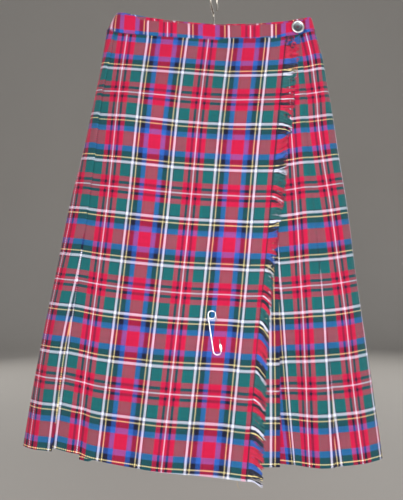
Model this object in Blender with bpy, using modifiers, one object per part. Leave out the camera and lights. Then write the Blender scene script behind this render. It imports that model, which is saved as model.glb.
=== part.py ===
"""A wrap-over tartan kilted skirt, hung flat on a plain hanger.

Frame: the origin is the inner top of the hanger's hook, +Z is up, the front faces -Y and
+X is to the right of someone looking at the front. Sizes are in millimetres until MM
turns them into metres.

The skirt is one length of cloth wound round the body, anticlockwise seen from above:
the under apron inside the front, ten knife pleats round the right side, the back and the
left side, then the outer apron across the front, which ends in a fringed edge.
Every row of the cloth is a path over a base curve: an arc length along that curve, and a
level that says how far outside it the layer lies.
"""
import math

import bmesh
import bpy
import numpy as np
from mathutils import Matrix, Vector

MM = 0.001
COLLECTION_NAME = "tartan_kilted_skirt"

# Cloth and seams
CLOTH = 1.0
SEAM_GAP = 0.3
SEAM_DROP = 0.5
LAYER_STEP_WAIST = 1.4
LAYER_STEP_HEM = 1.6
LAYER_STEP_REACHED = 0.18
APRON_SPACE = 3.6
CLIMB_MARGIN = 4.0

# Waistband
BAND_CLOTH = 3.4
BAND_LEVEL = 1.9
BAND_LAP = 3.8
BAND_FLAT_END = 18.0
BAND_TIP_STATIONS = (-14, -10, -7, -4.5, -2.2, 0, 2.2, 4.5, 7, 10, 14)
BAND_TIP_SPACE = 30.0
BAND_INNER_END_X = -150.0
BAND_OUTER_END_X = 150.0
BAND_TOP_LEFT_X = -161.5
BAND_TOP_RIGHT_X = 161.5
# How the band's top edge and the waist seam sag, as z against the place from the left
# tip (-1) to the right one (1)
BAND_TOP_Z = ((-1, -46.5), (-0.81, -54.5), (-0.62, -60.5), (-0.37, -65.8), (-0.12, -69.8),
              (0.12, -71.6), (0.37, -71.0), (0.62, -68.8), (0.78, -65.8), (0.90, -61.0),
              (1, -53.0))
SEAM_Z = ((-1, -79.5), (-0.86, -85.0), (-0.61, -89.8), (-0.41, -92.4), (-0.20, -95.4),
          (0.03, -99.0), (0.17, -100.2), (0.36, -99.9), (0.58, -98.2), (0.70, -94.0),
          (0.87, -87.4), (1, -79.4))

# Sections of the skirt from the waist seam to the hem. The columns are the drop from
# seam to hem (0 to 1), the base curve's left and right tips, its y at the tips, at the
# front and at the back, and how square its ends are.
SECTIONS = (
    # drop   left    right  side  front  back  square
    (0.000, -178.5, 168.5, 0.0, -12.0, 12.0, 12.0),
    (0.070, -185.5, 180.5, -0.5, -23.0, 16.0, 8.0),
    (0.120, -190.5, 185.5, -1.0, -31.0, 19.0, 6.0),
    (0.180, -199.0, 192.5, -1.3, -38.0, 22.0, 4.5),
    (0.315, -218.0, 206.0, -2.0, -41.0, 25.0, 3.2),
    (0.420, -235.0, 216.5, -2.7, -43.0, 27.0, 2.8),
    (0.560, -253.5, 227.5, -3.5, -45.0, 29.0, 2.5),
    (0.715, -274.0, 241.5, -4.4, -47.0, 31.0, 2.4),
    (0.885, -294.0, 257.5, -5.4, -51.0, 33.0, 2.3),
    (1.000, -306.0, 267.0, -6.0, -54.0, 34.0, 2.3),
)

# Lines that run down the front, as x at the same drops: the left pleat's fold, the free
# edge of the under apron, the two folds on the right, and the fringe's stitch line.
FRONT_LINES = (
    # left    under   under   right   stitch
    # fold    edge    fold    fold    line
    (-166.0, -150.0, 92.0, 142.5, 121.0),
    (-172.0, -156.0, 94.0, 145.0, 113.0),
    (-178.0, -160.0, 95.0, 146.0, 109.0),
    (-184.0, -166.0, 96.0, 146.0, 104.0),
    (-194.0, -174.0, 97.5, 151.5, 94.0),
    (-201.5, -180.0, 98.5, 158.5, 86.5),
    (-214.0, -188.0, 99.0, 167.0, 76.5),
    (-229.0, -196.0, 99.5, 176.5, 65.0),
    (-244.0, -205.0, 100.0, 183.5, 55.0),
    (-254.5, -212.0, 100.0, 184.0, 48.0),
)

# Pleats
PLEATS = 10
TUCK_WAIST = 38.0
TUCK_HEM = 23.0
LAST_TUCK_WAIST = 7.0
PLEAT_LEAD = 1.5
SIDE_FOLD_PAST_TIP = 13.0
PLEAT_SHIFTS = (2.5, -2.0, 3.0, -1.5, 2.0, -2.5, 0.0)

# Hems, as z against x on the front, and against the place along the wall elsewhere
APRON_HEM = ((-256, -757), (-212, -765.5), (-181, -773), (-117, -783), (-46, -791),
             (12, -796), (48, -801))
UNDER_HEM = ((-212, -774.5), (-193, -775.5), (-186, -770.5), (-100, -775), (0, -780),
             (100, -781))
BODY_HEM = {"under_fold": -780.0, "right_fold": -785.0, "right_tip": -780.5,
            "back": -786.0, "left_tip": -760.5, "left_fold": -762.0}

# Fringe along the outer apron's free edge
LOCKS = 128
FRINGE_STRIP = 2.4
FRINGE_TOP_DROP = 0.006
FRINGE_REACH = ((0.0, 20), (0.05, 23), (0.27, 21), (0.39, 22), (0.50, 19), (0.60, 18),
                (0.72, 21), (1.0, 23))
FRINGE_DROOP = ((0.0, -4), (0.04, 12), (0.12, 18), (0.17, -6), (0.22, 14), (0.45, 34),
                (0.60, 46), (0.72, 30), (0.85, 24), (0.96, 22), (1.0, 12))

# Waist button
BUTTON_PROFILE = ((0, 1.5), (4.4, 1.6), (7.3, 2.4), (8.6, 3.4), (9.8, 3.5), (10.6, 2.9),
                  (10.8, 2.0), (10.4, 1.0), (9.2, 0.3), (7.8, 0), (0, 0))
BUTTON_SIDES = 36
BUTTON_X = 138.0
BUTTON_BELOW_TOP = 14.5
BUTTON_HOLE_DEPTH = 8.0
BUTTON_HOLE_RADIUS = 0.9
BUTTON_HOLE_OFFSET = 1.9

# Kilt pin, laid on the outer apron
PIN_TOP = (-4.7, -549.5)
PIN_LEAN = 8.5
PIN_WIRE = 1.8
PIN_COIL_RADIUS = 6.0
PIN_COIL_PITCH = 2.2
PIN_LENGTH = 62.0
PIN_REST = 0.5
PIN_UNDER = 1.3
PIN_ENTRY = 11.0
PIN_EXIT = 40.0
PIN_HOLE = (3.0, 7.6)
PIN_DIVE = 3.4
PIN_EASE = 0.8
PIN_STRAIGHT = 45.0
PIN_POINT = 49.5
PIN_BEND_END = 54.0
PIN_HOOD = (5.0, 11.0, 3.4)
PIN_HOOD_DOWN = 51.0
PIN_HOOD_LEVEL = 2.3
PIN_HOOD_ROUNDING = 0.9

# Hanger
HOOK_WIRE = 3.0
HOOK_INNER_RADIUS = 22.0
HOOK_BEND_RADIUS = 7.0
HOOK_TURN = 16.0
HOOK_TIP_ANGLE = -18.0
BAR_TOP_Z = -72.5
BAR_HEIGHT = 12.0
BAR_THICKNESS = 12.0
BAR_LEFT_X = -175.6
BAR_RIGHT_X = 165.6
BAR_SOCKET_DEPTH = 8.5
BAR_ROUNDING = 5.0


def column(table, index):
    return np.array([row[index] for row in table], dtype=float)


DROPS = column(SECTIONS, 0)


def section(drop):
    """The seven values of the section at one drop."""
    return [float(np.interp(drop, DROPS, column(SECTIONS, i))) for i in range(7)]


def from_table(table, place):
    return float(np.interp(place, [row[0] for row in table], [row[1] for row in table]))


def line_x(drop, index):
    return float(np.interp(drop, DROPS, column(FRONT_LINES, index)))


class BaseCurve:
    """A closed plan curve; arc length runs from the left tip across the front."""

    SAMPLES = 360

    def __init__(self, left, right, side, front, back, square):
        half = (right - left) / 2
        centre = (right + left) / 2
        sweep = np.sin(np.linspace(-math.pi / 2, math.pi / 2, self.SAMPLES))
        swell = np.sqrt(np.clip(1 - np.abs(sweep) ** square, 0, 1))
        front_half = np.stack([centre + half * sweep, side + (front - side) * swell], 1)
        back_half = np.stack([centre - half * sweep, side + (back - side) * swell], 1)
        self.points = np.concatenate([front_half, back_half[1:]])
        steps = np.linalg.norm(np.diff(self.points, axis=0), axis=1)
        self.arc = np.concatenate([[0], np.cumsum(steps)])
        self.front_length = float(self.arc[self.SAMPLES - 1])
        self.length = float(self.arc[-1])
        self.centre = centre
        self.half = half

    def at(self, s):
        s = s % self.length
        x = np.interp(s, self.arc, self.points[:, 0])
        y = np.interp(s, self.arc, self.points[:, 1])
        return np.array([x, y])

    def outward(self, s, reach=1.0):
        along = self.at(s + reach) - self.at(s - reach)
        along /= np.linalg.norm(along)
        return np.array([along[1], -along[0]])

    def place(self, s, level):
        return self.at(s) + self.outward(s) * level

    def front_arc(self, x):
        """Arc length of the point of the front that has this x."""
        front_x = self.points[:self.SAMPLES, 0]
        return float(np.interp(x, front_x, self.arc[:self.SAMPLES]))


def curve_at(drop):
    return BaseCurve(*section(drop)[1:])


def band_curve(share):
    """The base curve inside the waistband, from its top (0) to the seam (1)."""
    _, left, right, side, front, back, square = section(0)
    top_left = BAND_TOP_LEFT_X + (left - BAND_TOP_LEFT_X) * share
    top_right = BAND_TOP_RIGHT_X + (right - BAND_TOP_RIGHT_X) * share
    return BaseCurve(top_left, top_right, side, front, back, square)


def sagged(heights, curve, x):
    """A height that sags between the two tips of the curve."""
    return from_table(heights, (x - curve.centre) / curve.half)


def layer_step(drop):
    share = min(1, drop / LAYER_STEP_REACHED)
    return LAYER_STEP_WAIST + (LAYER_STEP_HEM - LAYER_STEP_WAIST) * share


def tuck(drop, pleat):
    """How far a pleat's cloth goes back under its fold."""
    waist = LAST_TUCK_WAIST if pleat == PLEATS - 1 else TUCK_WAIST
    return waist + (TUCK_HEM - waist) * drop


def folds(drop, curve):
    """Arc lengths of the ten pleat folds, from the under apron round to the left side."""
    first = curve.front_arc(line_x(drop, 2))
    second = curve.front_arc(line_x(drop, 3))
    last = curve.length + curve.front_arc(line_x(drop, 0))
    side = curve.front_length + SIDE_FOLD_PAST_TIP
    places = [first, second, side]
    for index, shift in enumerate(PLEAT_SHIFTS):
        share = (index + 1) / len(PLEAT_SHIFTS)
        places.append(side + (last - side) * share + shift * drop)
    return places


def outer_level(drop, curve, s):
    """Level of the outer apron, which climbs from under the left fold to the right."""
    left = curve.front_arc(line_x(drop, 0)) + CLIMB_MARGIN
    right = folds(drop, curve)[0] - tuck(drop, 0) - CLIMB_MARGIN
    share = float(np.clip((s - left) / (right - left), 0, 1))
    return share * (2 * layer_step(drop) + APRON_SPACE)


def body_hem(curve, drop, s):
    fold_places = folds(drop, curve)
    arcs = [fold_places[0], fold_places[1], curve.front_length,
            (curve.front_length + curve.length) / 2, curve.length, fold_places[-1]]
    keys = ("under_fold", "right_fold", "right_tip", "back", "left_tip", "left_fold")
    return float(np.interp(s, arcs, [BODY_HEM[key] for key in keys]))


def cloth_z(curve, drop, x, hem):
    top = sagged(SEAM_Z, curve, x) - SEAM_DROP
    return top + (hem - top) * drop


def path_row(curve, drop, path, hem_of):
    """World points of one row of cloth, from its (arc length, level) path."""
    row = []
    for s, level in path:
        x, y = curve.place(s, level)
        row.append((x, y, cloth_z(curve, drop, x, hem_of(s, x))))
    return row


def body_path(drop, curve):
    """The pleated body from the under apron's inner fold to the left pleat's tuck."""
    step = layer_step(drop)
    fold_places = folds(drop, curve)
    tucks = [tuck(drop, pleat) for pleat in range(PLEATS)]
    stations = [(0.5,)] * PLEATS
    tip_share = (curve.front_length - (fold_places[2] - tucks[2])) / tucks[2]
    before = [tip_share * share for share in (0.25, 0.5, 0.75, 0.9)]
    after = [tip_share + (1 - tip_share) * share for share in (0.1, 0.25, 0.5, 0.75)]
    stations[2] = (*before, tip_share, *after)
    path = [(fold_places[0] - tucks[0], 0)]
    for pleat in range(1, PLEATS):
        previous = fold_places[pleat - 1]
        previous_start = previous - tucks[pleat - 1]
        fold = fold_places[pleat]
        start = fold - tucks[pleat]
        if pleat > 1:
            path.append((previous_start, 0))
        path += [(previous_start + tucks[pleat - 1] * share, 0)
                 for share in stations[pleat - 1]]
        path += [(previous, 0), (previous + PLEAT_LEAD, 0)]
        path += [(s, (s - previous) / (start - previous) * 2 * step)
                 for s in open_stations(curve, pleat, previous + PLEAT_LEAD, start)]
        path.append((start, 2 * step))
        path += [(start + tucks[pleat] * share, 2 * step) for share in stations[pleat]]
        path += [(fold, 2 * step), (fold, step)]
        path += [(start + tucks[pleat] * share, step)
                 for share in reversed(stations[pleat])]
        path.append((start, step))
    return path


def open_stations(curve, pleat, start, end):
    """Extra points where a pleat's face lies alone, closer round the left tip."""
    if pleat < PLEATS - 1:
        return [start + (end - start) * share for share in (0.35, 0.7)]
    tip = curve.length
    before = [start + (tip - start) * share for share in (0.4, 0.7, 0.84, 0.93)]
    after = [tip + (end - tip) * share for share in (0.3, 0.6)]
    return before + [tip] + after


def outer_path(drop, curve):
    left = curve.front_arc(line_x(drop, 0))
    start = left - tuck(drop, PLEATS - 1)
    stitch = curve.front_arc(line_x(drop, 4))
    path = [(start, 0), ((start + left) / 2, 0), (left, 0)]
    shares = (0.03, 0.08, 0.16, 0.26, 0.38, 0.5, 0.62, 0.74, 0.85, 0.94, 1)
    spread = [left + (stitch - left) * share for share in shares]
    return path + [(s, outer_level(drop, curve, s)) for s in spread]


def under_path(drop, curve):
    start = curve.front_arc(line_x(drop, 1))
    fold = folds(drop, curve)[0]
    tuck_start = fold - tuck(drop, 0)
    step = layer_step(drop)
    shares = (0, 0.1, 0.22, 0.36, 0.5, 0.64, 0.78, 0.9)
    spread = [start + (tuck_start - start) * share for share in shares]
    path = [(s, outer_level(drop, curve, s) - APRON_SPACE) for s in spread]
    path += [(tuck_start, 2 * step), (tuck_start + tuck(drop, 0) / 2, 2 * step)]
    path += [(fold, 2 * step), (fold, step)]
    return path + [(tuck_start + tuck(drop, 0) / 2, step), (tuck_start, step)]


def band_path(curve):
    """The waistband: inside the front, round the back, then across the front again."""
    inner_start = curve.front_arc(BAND_INNER_END_X)
    outer_end = curve.front_arc(BAND_OUTER_END_X)
    right_tip = curve.front_length
    climb_end = outer_end - BAND_FLAT_END

    def climb(s):
        return BAND_LAP * float(np.clip((s - inner_start) / (climb_end - inner_start), 0, 1))

    spread = np.linspace(inner_start, outer_end, 15)
    path = [(s, BAND_LEVEL - BAND_LAP + climb(s)) for s in spread]
    path += [(right_tip + offset, BAND_LEVEL) for offset in BAND_TIP_STATIONS]
    back_places = np.linspace(right_tip + BAND_TIP_SPACE, curve.length - BAND_TIP_SPACE, 11)
    path += [(s, BAND_LEVEL) for s in back_places]
    path += [(curve.length + offset, BAND_LEVEL) for offset in BAND_TIP_STATIONS]
    return path + [(curve.length + s, BAND_LEVEL + climb(s)) for s in spread]


def material(name, color, roughness, metallic=0.0):
    made = bpy.data.materials.new(name)
    made.use_nodes = True
    shader = made.node_tree.nodes["Principled BSDF"]
    shader.inputs["Base Color"].default_value = (*color, 1)
    shader.inputs["Roughness"].default_value = roughness
    shader.inputs["Metallic"].default_value = metallic
    return made


def add_object(name, mesh, finish, collection):
    made = bpy.data.objects.new(name, mesh)
    made.data.materials.append(finish)
    collection.objects.link(made)
    return made


def add_sheet(name, rows, thickness, finish, collection):
    """A grid of points, as a wall of even thickness on both sides of it."""
    columns = len(rows[0])
    points = [Vector(point) * MM for row in rows for point in row]
    faces = [(r * columns + c, r * columns + c + 1, (r + 1) * columns + c + 1,
              (r + 1) * columns + c)
             for r in range(len(rows) - 1) for c in range(columns - 1)]
    mesh = bpy.data.meshes.new(name)
    mesh.from_pydata(points, [], faces)
    mesh.update()
    sheet = add_object(name, mesh, finish, collection)
    wall = sheet.modifiers.new("wall", "SOLIDIFY")
    wall.thickness = thickness * MM
    wall.offset = 0
    wall.use_even_offset = True
    wall.thickness_clamp = 0
    return sheet


def add_cloth(collection, tartan):
    """The outer apron, the pleated body and the under apron."""
    outer_rows, body_rows, under_rows = [], [], []
    for drop in DROPS:
        curve = curve_at(drop)
        outer_rows.append(path_row(curve, drop, outer_path(drop, curve),
                                   lambda s, x: from_table(APRON_HEM, x)))
        body_rows.append(path_row(curve, drop, body_path(drop, curve),
                                  lambda s, x, c=curve, d=drop: body_hem(c, d, s)))
        under_rows.append(path_row(curve, drop, under_path(drop, curve),
                                   lambda s, x: from_table(UNDER_HEM, x)))
    apron = add_sheet("front_apron", outer_rows, CLOTH, tartan, collection)
    add_sheet("pleated_body", body_rows, CLOTH, tartan, collection)
    add_sheet("under_apron", under_rows, CLOTH, tartan, collection)
    return apron


def band_rows():
    rows = []
    for share in (0, 0.5, 1):
        curve = band_curve(share)
        row = []
        for s, level in band_path(curve):
            x, y = curve.place(s, level)
            top = sagged(BAND_TOP_Z, curve, x)
            row.append((x, y, top + (sagged(SEAM_Z, curve, x) - top) * share))
        rows.append(row)
    return rows


def apron_point(x, z, level):
    """A point over the outer apron, level millimetres outside its outer face."""
    curve = curve_at(0)
    top = sagged(SEAM_Z, curve, x) - SEAM_DROP
    drop = (z - top) / (from_table(APRON_HEM, x) - top)
    curve = curve_at(drop)
    s = curve.front_arc(x)
    along = curve.outward(s)
    spot = curve.at(s) + along * (outer_level(drop, curve, s) + CLOTH / 2 + level)
    return Vector((spot[0], spot[1], z))


def fringe_point(drop, reach, level, height):
    """A point on the fringe: reach along the front from the stitch line."""
    curve = curve_at(drop)
    s = curve.front_arc(line_x(drop, 4)) + SEAM_GAP + reach
    x, y = curve.place(s, outer_level(drop, curve, s) + level)
    edge_x = line_x(drop, 4)
    z = cloth_z(curve, drop, edge_x, from_table(APRON_HEM, edge_x))
    return Vector((x, y, z + height))


def add_fringe(collection, yarn):
    """A narrow strip beside the apron's edge, with a lock of yarn on each of its cells."""
    levels = (-CLOTH / 2, CLOTH / 2)
    mesh = bmesh.new()
    rings = []
    for drop in np.linspace(FRINGE_TOP_DROP, 1, LOCKS + 1):
        corners = ((0, levels[0]), (0, levels[1]), (FRINGE_STRIP, levels[1]),
                   (FRINGE_STRIP, levels[0]))
        rings.append([mesh.verts.new(fringe_point(drop, reach, level, 0) * MM)
                      for reach, level in corners])
    root_faces = []
    for upper, lower in zip(rings, rings[1:]):
        for side in range(4):
            face = mesh.faces.new((upper[side], upper[(side + 1) % 4],
                                   lower[(side + 1) % 4], lower[side]))
            if side == 2:
                root_faces.append(face)
    mesh.faces.new(rings[0])
    mesh.faces.new(reversed(rings[-1]))
    for index, face in enumerate(root_faces):
        drop = FRINGE_TOP_DROP + (1 - FRINGE_TOP_DROP) * (index + 0.5) / LOCKS
        grow_lock(mesh, face, drop, index)
    bmesh.ops.recalc_face_normals(mesh, faces=mesh.faces)
    data = bpy.data.meshes.new("apron_fringe")
    mesh.to_mesh(data)
    mesh.free()
    add_object("apron_fringe", data, yarn, collection)


def grow_lock(mesh, face, drop, index):
    """Two extrusions that taper a lock of yarn and let it droop."""
    reach = float(np.interp(drop, *zip(*FRINGE_REACH))) - FRINGE_STRIP
    reach *= 1 + 0.07 * math.sin(index * 2.4) + 0.05 * math.sin(index * 0.71)
    droop = math.radians(float(np.interp(drop, *zip(*FRINGE_DROOP))))
    droop += math.radians(3) * math.sin(index * 0.53)
    out, down = 0.0, 0.0
    for share, turn, width in ((0.5, 0.6, 0.62), (0.5, 1.3, 0.45)):
        out += reach * share * math.cos(droop * turn)
        down += reach * share * math.sin(droop * turn)
        face = bmesh.ops.extrude_discrete_faces(mesh, faces=[face])["faces"][0]
        target = fringe_point(drop, FRINGE_STRIP + out, 0, -down) * MM
        centre = face.calc_center_median()
        for vert in face.verts:
            vert.co = target + (vert.co - centre) * width


def add_turned(name, profile, steps, finish, collection):
    """A profile of (radius, height) points, outer side downwards, turned round Z."""
    mesh = bpy.data.meshes.new(name)
    points = [(radius * MM, 0, height * MM) for radius, height in profile]
    mesh.from_pydata(points, [(i, i + 1) for i in range(len(points) - 1)], [])
    turned = add_object(name, mesh, finish, collection)
    screw = turned.modifiers.new("turn", "SCREW")
    screw.steps = steps
    screw.render_steps = steps
    screw.use_merge_vertices = True
    screw.merge_threshold = 0.00001
    return turned


def cut(target, cutter, cutters):
    """Take the cutter out of the target, and hide it."""
    for collection in list(cutter.users_collection):
        collection.objects.unlink(cutter)
    cutters.objects.link(cutter)
    cutter.hide_render = True
    cutter.display_type = "WIRE"
    boolean = target.modifiers.new("cut", "BOOLEAN")
    boolean.operation = "DIFFERENCE"
    boolean.object = cutter


def add_cylinder(name, radius, length, steps, finish, collection):
    mesh = bmesh.new()
    bmesh.ops.create_cone(mesh, cap_ends=True, segments=steps, radius1=radius * MM,
                          radius2=radius * MM, depth=length * MM)
    data = bpy.data.meshes.new(name)
    mesh.to_mesh(data)
    mesh.free()
    return add_object(name, data, finish, collection)


def add_box(name, size, finish, collection):
    mesh = bmesh.new()
    bmesh.ops.create_cube(mesh, size=1)
    bmesh.ops.scale(mesh, vec=[side * MM for side in size], verts=mesh.verts)
    data = bpy.data.meshes.new(name)
    mesh.to_mesh(data)
    mesh.free()
    return add_object(name, data, finish, collection)


def surface_frame(centre, right, down):
    """A frame whose Y runs down the cloth and whose Z leaves it, at a point."""
    outward = down.cross(right).normalized()
    down = down.normalized()
    turn = Matrix((down.cross(outward), down, outward)).transposed()
    return Matrix.Translation(centre * MM) @ turn.to_4x4()


def add_button(collection, cutters, finish):
    """A dished button with a round rim and four sewing holes, on the band's outer end."""
    button = add_turned("waist_button", BUTTON_PROFILE, BUTTON_SIDES, finish, collection)
    curve = band_curve(0.5)
    s = curve.front_arc(BUTTON_X)
    level = BAND_LEVEL + BAND_LAP + BAND_CLOTH / 2 + SEAM_GAP
    x, y = curve.place(s, level)
    z = sagged(BAND_TOP_Z, curve, x) - BUTTON_BELOW_TOP
    outward = curve.outward(s)
    facing = Vector((outward[0], outward[1], 0)).to_track_quat("Z", "Y")
    button.location = Vector((x, y, z)) * MM
    button.rotation_euler = facing.to_euler()
    for quarter in range(4):
        angle = math.radians(45 + 90 * quarter)
        hole = add_cylinder("button_hole", BUTTON_HOLE_RADIUS, BUTTON_HOLE_DEPTH, 12,
                            finish, collection)
        hole.parent = button
        hole.location = Vector((math.cos(angle), math.sin(angle), 0)) * (
            BUTTON_HOLE_OFFSET * MM)
        cut(button, hole, cutters)


def add_wire(name, points, thickness, sides, finish, collection):
    """A round wire along a list of points, with closed ends."""
    data = bpy.data.curves.new(name, "CURVE")
    data.dimensions = "3D"
    data.bevel_depth = thickness / 2 * MM
    data.bevel_resolution = sides
    data.use_fill_caps = True
    spline = data.splines.new("POLY")
    spline.points.add(len(points) - 1)
    for spot, point in zip(spline.points, points):
        spot.co = (*(Vector(point) * MM), 1)
    return add_object(name, data, finish, collection)


def pin_spot(across, down, level):
    """A point of the pin, in its own leaning frame, over the apron's outer face."""
    lean = math.radians(PIN_LEAN)
    x = PIN_TOP[0] + across * math.cos(lean) + down * math.sin(lean)
    z = PIN_TOP[1] + across * math.sin(lean) - down * math.cos(lean)
    return apron_point(x, z, level)


def pin_route():
    """From the point in the hood, up under the cloth, round the coil and down again."""
    over = PIN_REST + PIN_WIRE / 2
    under = -CLOTH - PIN_UNDER
    arm = PIN_COIL_RADIUS
    far, near = PIN_DIVE, PIN_DIVE / 2
    route = [(arm, PIN_POINT, PIN_HOOD_LEVEL), (arm, PIN_STRAIGHT, PIN_HOOD_LEVEL),
             (arm, PIN_EXIT + far, over), (arm, PIN_EXIT + near, over - PIN_EASE),
             (arm, PIN_EXIT - near, under + PIN_EASE), (arm, PIN_EXIT - far, under),
             (arm, PIN_ENTRY + far, under), (arm, PIN_ENTRY + near, under + PIN_EASE),
             (arm, PIN_ENTRY - near, over - PIN_EASE), (arm, PIN_ENTRY - far, over)]
    coil_points = 22
    high = over + PIN_COIL_PITCH * 1.5
    for i in range(coil_points + 1):
        share = i / coil_points
        angle = share * 3 * math.pi
        route.append((arm * math.cos(angle), -arm * math.sin(angle),
                      over + (high - over) * share))
    bend_down = PIN_LENGTH - arm
    route += [(-arm, arm, high), (-arm, bend_down, PIN_HOOD_LEVEL)]
    bend_points = 8
    for i in range(1, bend_points + 1):
        angle = math.pi * (1 - i / bend_points)
        route.append((arm * math.cos(angle), bend_down + arm * math.sin(angle),
                      PIN_HOOD_LEVEL))
    return route + [(arm, PIN_BEND_END, PIN_HOOD_LEVEL)]


def pin_frame(across, down, level):
    centre = pin_spot(across, down, level)
    return surface_frame(centre, pin_spot(across + 1, down, level) - centre,
                         pin_spot(across, down + 1, level) - centre)


def add_pin(collection, cutters, apron, steel):
    """A kilt pin: a long sprung wire whose back arm runs under the cloth, and its hood."""
    points = [pin_spot(*spot) for spot in pin_route()]
    add_wire("kilt_pin", points, PIN_WIRE, 2, steel, collection)
    for name, down in (("pin_entry", PIN_ENTRY), ("pin_exit", PIN_EXIT)):
        hole = add_box(name, (PIN_HOLE[0], PIN_HOLE[1], 4), steel, collection)
        hole.matrix_world = pin_frame(PIN_COIL_RADIUS, down, -CLOTH / 2)
        cut(apron, hole, cutters)
    hood = add_box("kilt_pin_hood", PIN_HOOD, steel, collection)
    hood.matrix_world = pin_frame(PIN_COIL_RADIUS, PIN_HOOD_DOWN, PIN_HOOD_LEVEL)
    rounding = hood.modifiers.new("rounding", "BEVEL")
    rounding.width = PIN_HOOD_ROUNDING * MM
    rounding.segments = 2
    bore = add_cylinder("hood_bore", PIN_WIRE / 2 + SEAM_GAP, 2 * PIN_HOOD[1], 16, steel,
                        collection)
    bore.matrix_world = hood.matrix_world @ Matrix.Rotation(math.pi / 2, 4, "X")
    cut(hood, bore, cutters)


def hook_route():
    """Up the stem, round the small bend and over the hook to its tip."""
    wire_radius = HOOK_INNER_RADIUS + HOOK_WIRE / 2
    centre_z = -HOOK_INNER_RADIUS
    bend = HOOK_BEND_RADIUS
    bend_z = centre_z - math.sqrt((wire_radius + bend) ** 2 - bend ** 2)
    meet = math.atan2(centre_z - bend_z, bend)
    route = [(0, BAR_TOP_Z - BAR_SOCKET_DEPTH + SEAM_GAP), (0, bend_z - 4)]
    for i in range(5):
        angle = meet * i / 4
        route.append((-bend + bend * math.cos(angle), bend_z + bend * math.sin(angle)))
    start = math.degrees(meet) + 180
    steps = 26
    for i in range(1, steps + 1):
        angle = math.radians(start + (HOOK_TIP_ANGLE - start) * i / steps)
        route.append((wire_radius * math.cos(angle), centre_z + wire_radius * math.sin(angle)))
    turn = math.radians(HOOK_TURN)
    return [(reach * math.sin(turn), reach * math.cos(turn), z) for reach, z in route]


def add_hanger(collection, cutters, steel, wood):
    """A straight bar whose ends sit in the side folds, and its hook."""
    add_wire("hanger_hook", hook_route(), HOOK_WIRE, 3, steel, collection)
    length = BAR_RIGHT_X - BAR_LEFT_X
    bar = add_box("hanger_bar", (length, BAR_THICKNESS, BAR_HEIGHT), wood, collection)
    bar.location = Vector(((BAR_LEFT_X + BAR_RIGHT_X) / 2, 0, BAR_TOP_Z - BAR_HEIGHT / 2)) * MM
    rounding = bar.modifiers.new("rounding", "BEVEL")
    rounding.width = BAR_ROUNDING * MM
    rounding.segments = 3
    socket = add_cylinder("stem_socket", HOOK_WIRE / 2 + SEAM_GAP,
                          2 * BAR_SOCKET_DEPTH, 16, wood, collection)
    socket.location = Vector((0, 0, BAR_TOP_Z)) * MM
    cut(bar, socket, cutters)


def main():
    for old in list(bpy.data.objects):
        bpy.data.objects.remove(old, do_unlink=True)
    collection = bpy.data.collections.new(COLLECTION_NAME)
    cutters = bpy.data.collections.new("cutters")
    bpy.context.scene.collection.children.link(collection)
    bpy.context.scene.collection.children.link(cutters)
    tartan = material("tartan_wool", (0.55, 0.04, 0.09), 0.9)
    yarn = material("fringe_yarn", (0.35, 0.06, 0.12), 0.95)
    steel = material("bright_steel", (0.75, 0.75, 0.74), 0.25, 1.0)
    wood = material("hanger_wood", (0.55, 0.4, 0.26), 0.55)
    apron = add_cloth(collection, tartan)
    add_sheet("waistband", band_rows(), BAND_CLOTH, tartan, collection)
    add_fringe(collection, yarn)
    add_button(collection, cutters, steel)
    add_pin(collection, cutters, apron, steel)
    add_hanger(collection, cutters, steel, wood)


main()
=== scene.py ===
"""The looks of a wrap-over tartan kilted skirt, hung flat on a plain hanger.

The frame is the part's own: the origin is the inner top of the hanger's hook, +Z is up,
the front faces -Y and +X is to the right of someone looking at the front. Sizes are in
millimetres until MM turns them into metres.

The cloth follows the same path as the solids: a base curve for each drop from waist to
hem, and on it an arc length and a level outside it. Each point also gets its place in
the tartan, which the cloth's material reads as UV: repeats across and repeats down.
"""
import math

import bmesh
import bpy
import numpy as np
from mathutils import Matrix, Vector


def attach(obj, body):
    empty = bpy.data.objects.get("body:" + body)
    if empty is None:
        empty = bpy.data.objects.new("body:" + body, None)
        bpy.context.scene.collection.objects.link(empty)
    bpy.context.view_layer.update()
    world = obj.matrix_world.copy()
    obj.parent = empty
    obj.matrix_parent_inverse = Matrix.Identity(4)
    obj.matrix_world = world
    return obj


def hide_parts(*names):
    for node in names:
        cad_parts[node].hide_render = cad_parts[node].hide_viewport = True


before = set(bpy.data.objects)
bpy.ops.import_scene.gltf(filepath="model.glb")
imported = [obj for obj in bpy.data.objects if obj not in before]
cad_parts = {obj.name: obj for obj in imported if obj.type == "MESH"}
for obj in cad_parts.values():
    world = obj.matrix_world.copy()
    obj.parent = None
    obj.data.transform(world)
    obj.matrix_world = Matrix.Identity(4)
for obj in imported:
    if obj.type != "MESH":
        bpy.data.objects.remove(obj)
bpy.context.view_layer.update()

MM = 0.001
BODY = "root"
# In radians, near enough for a random start
FULL_TURN = 6.28


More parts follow.
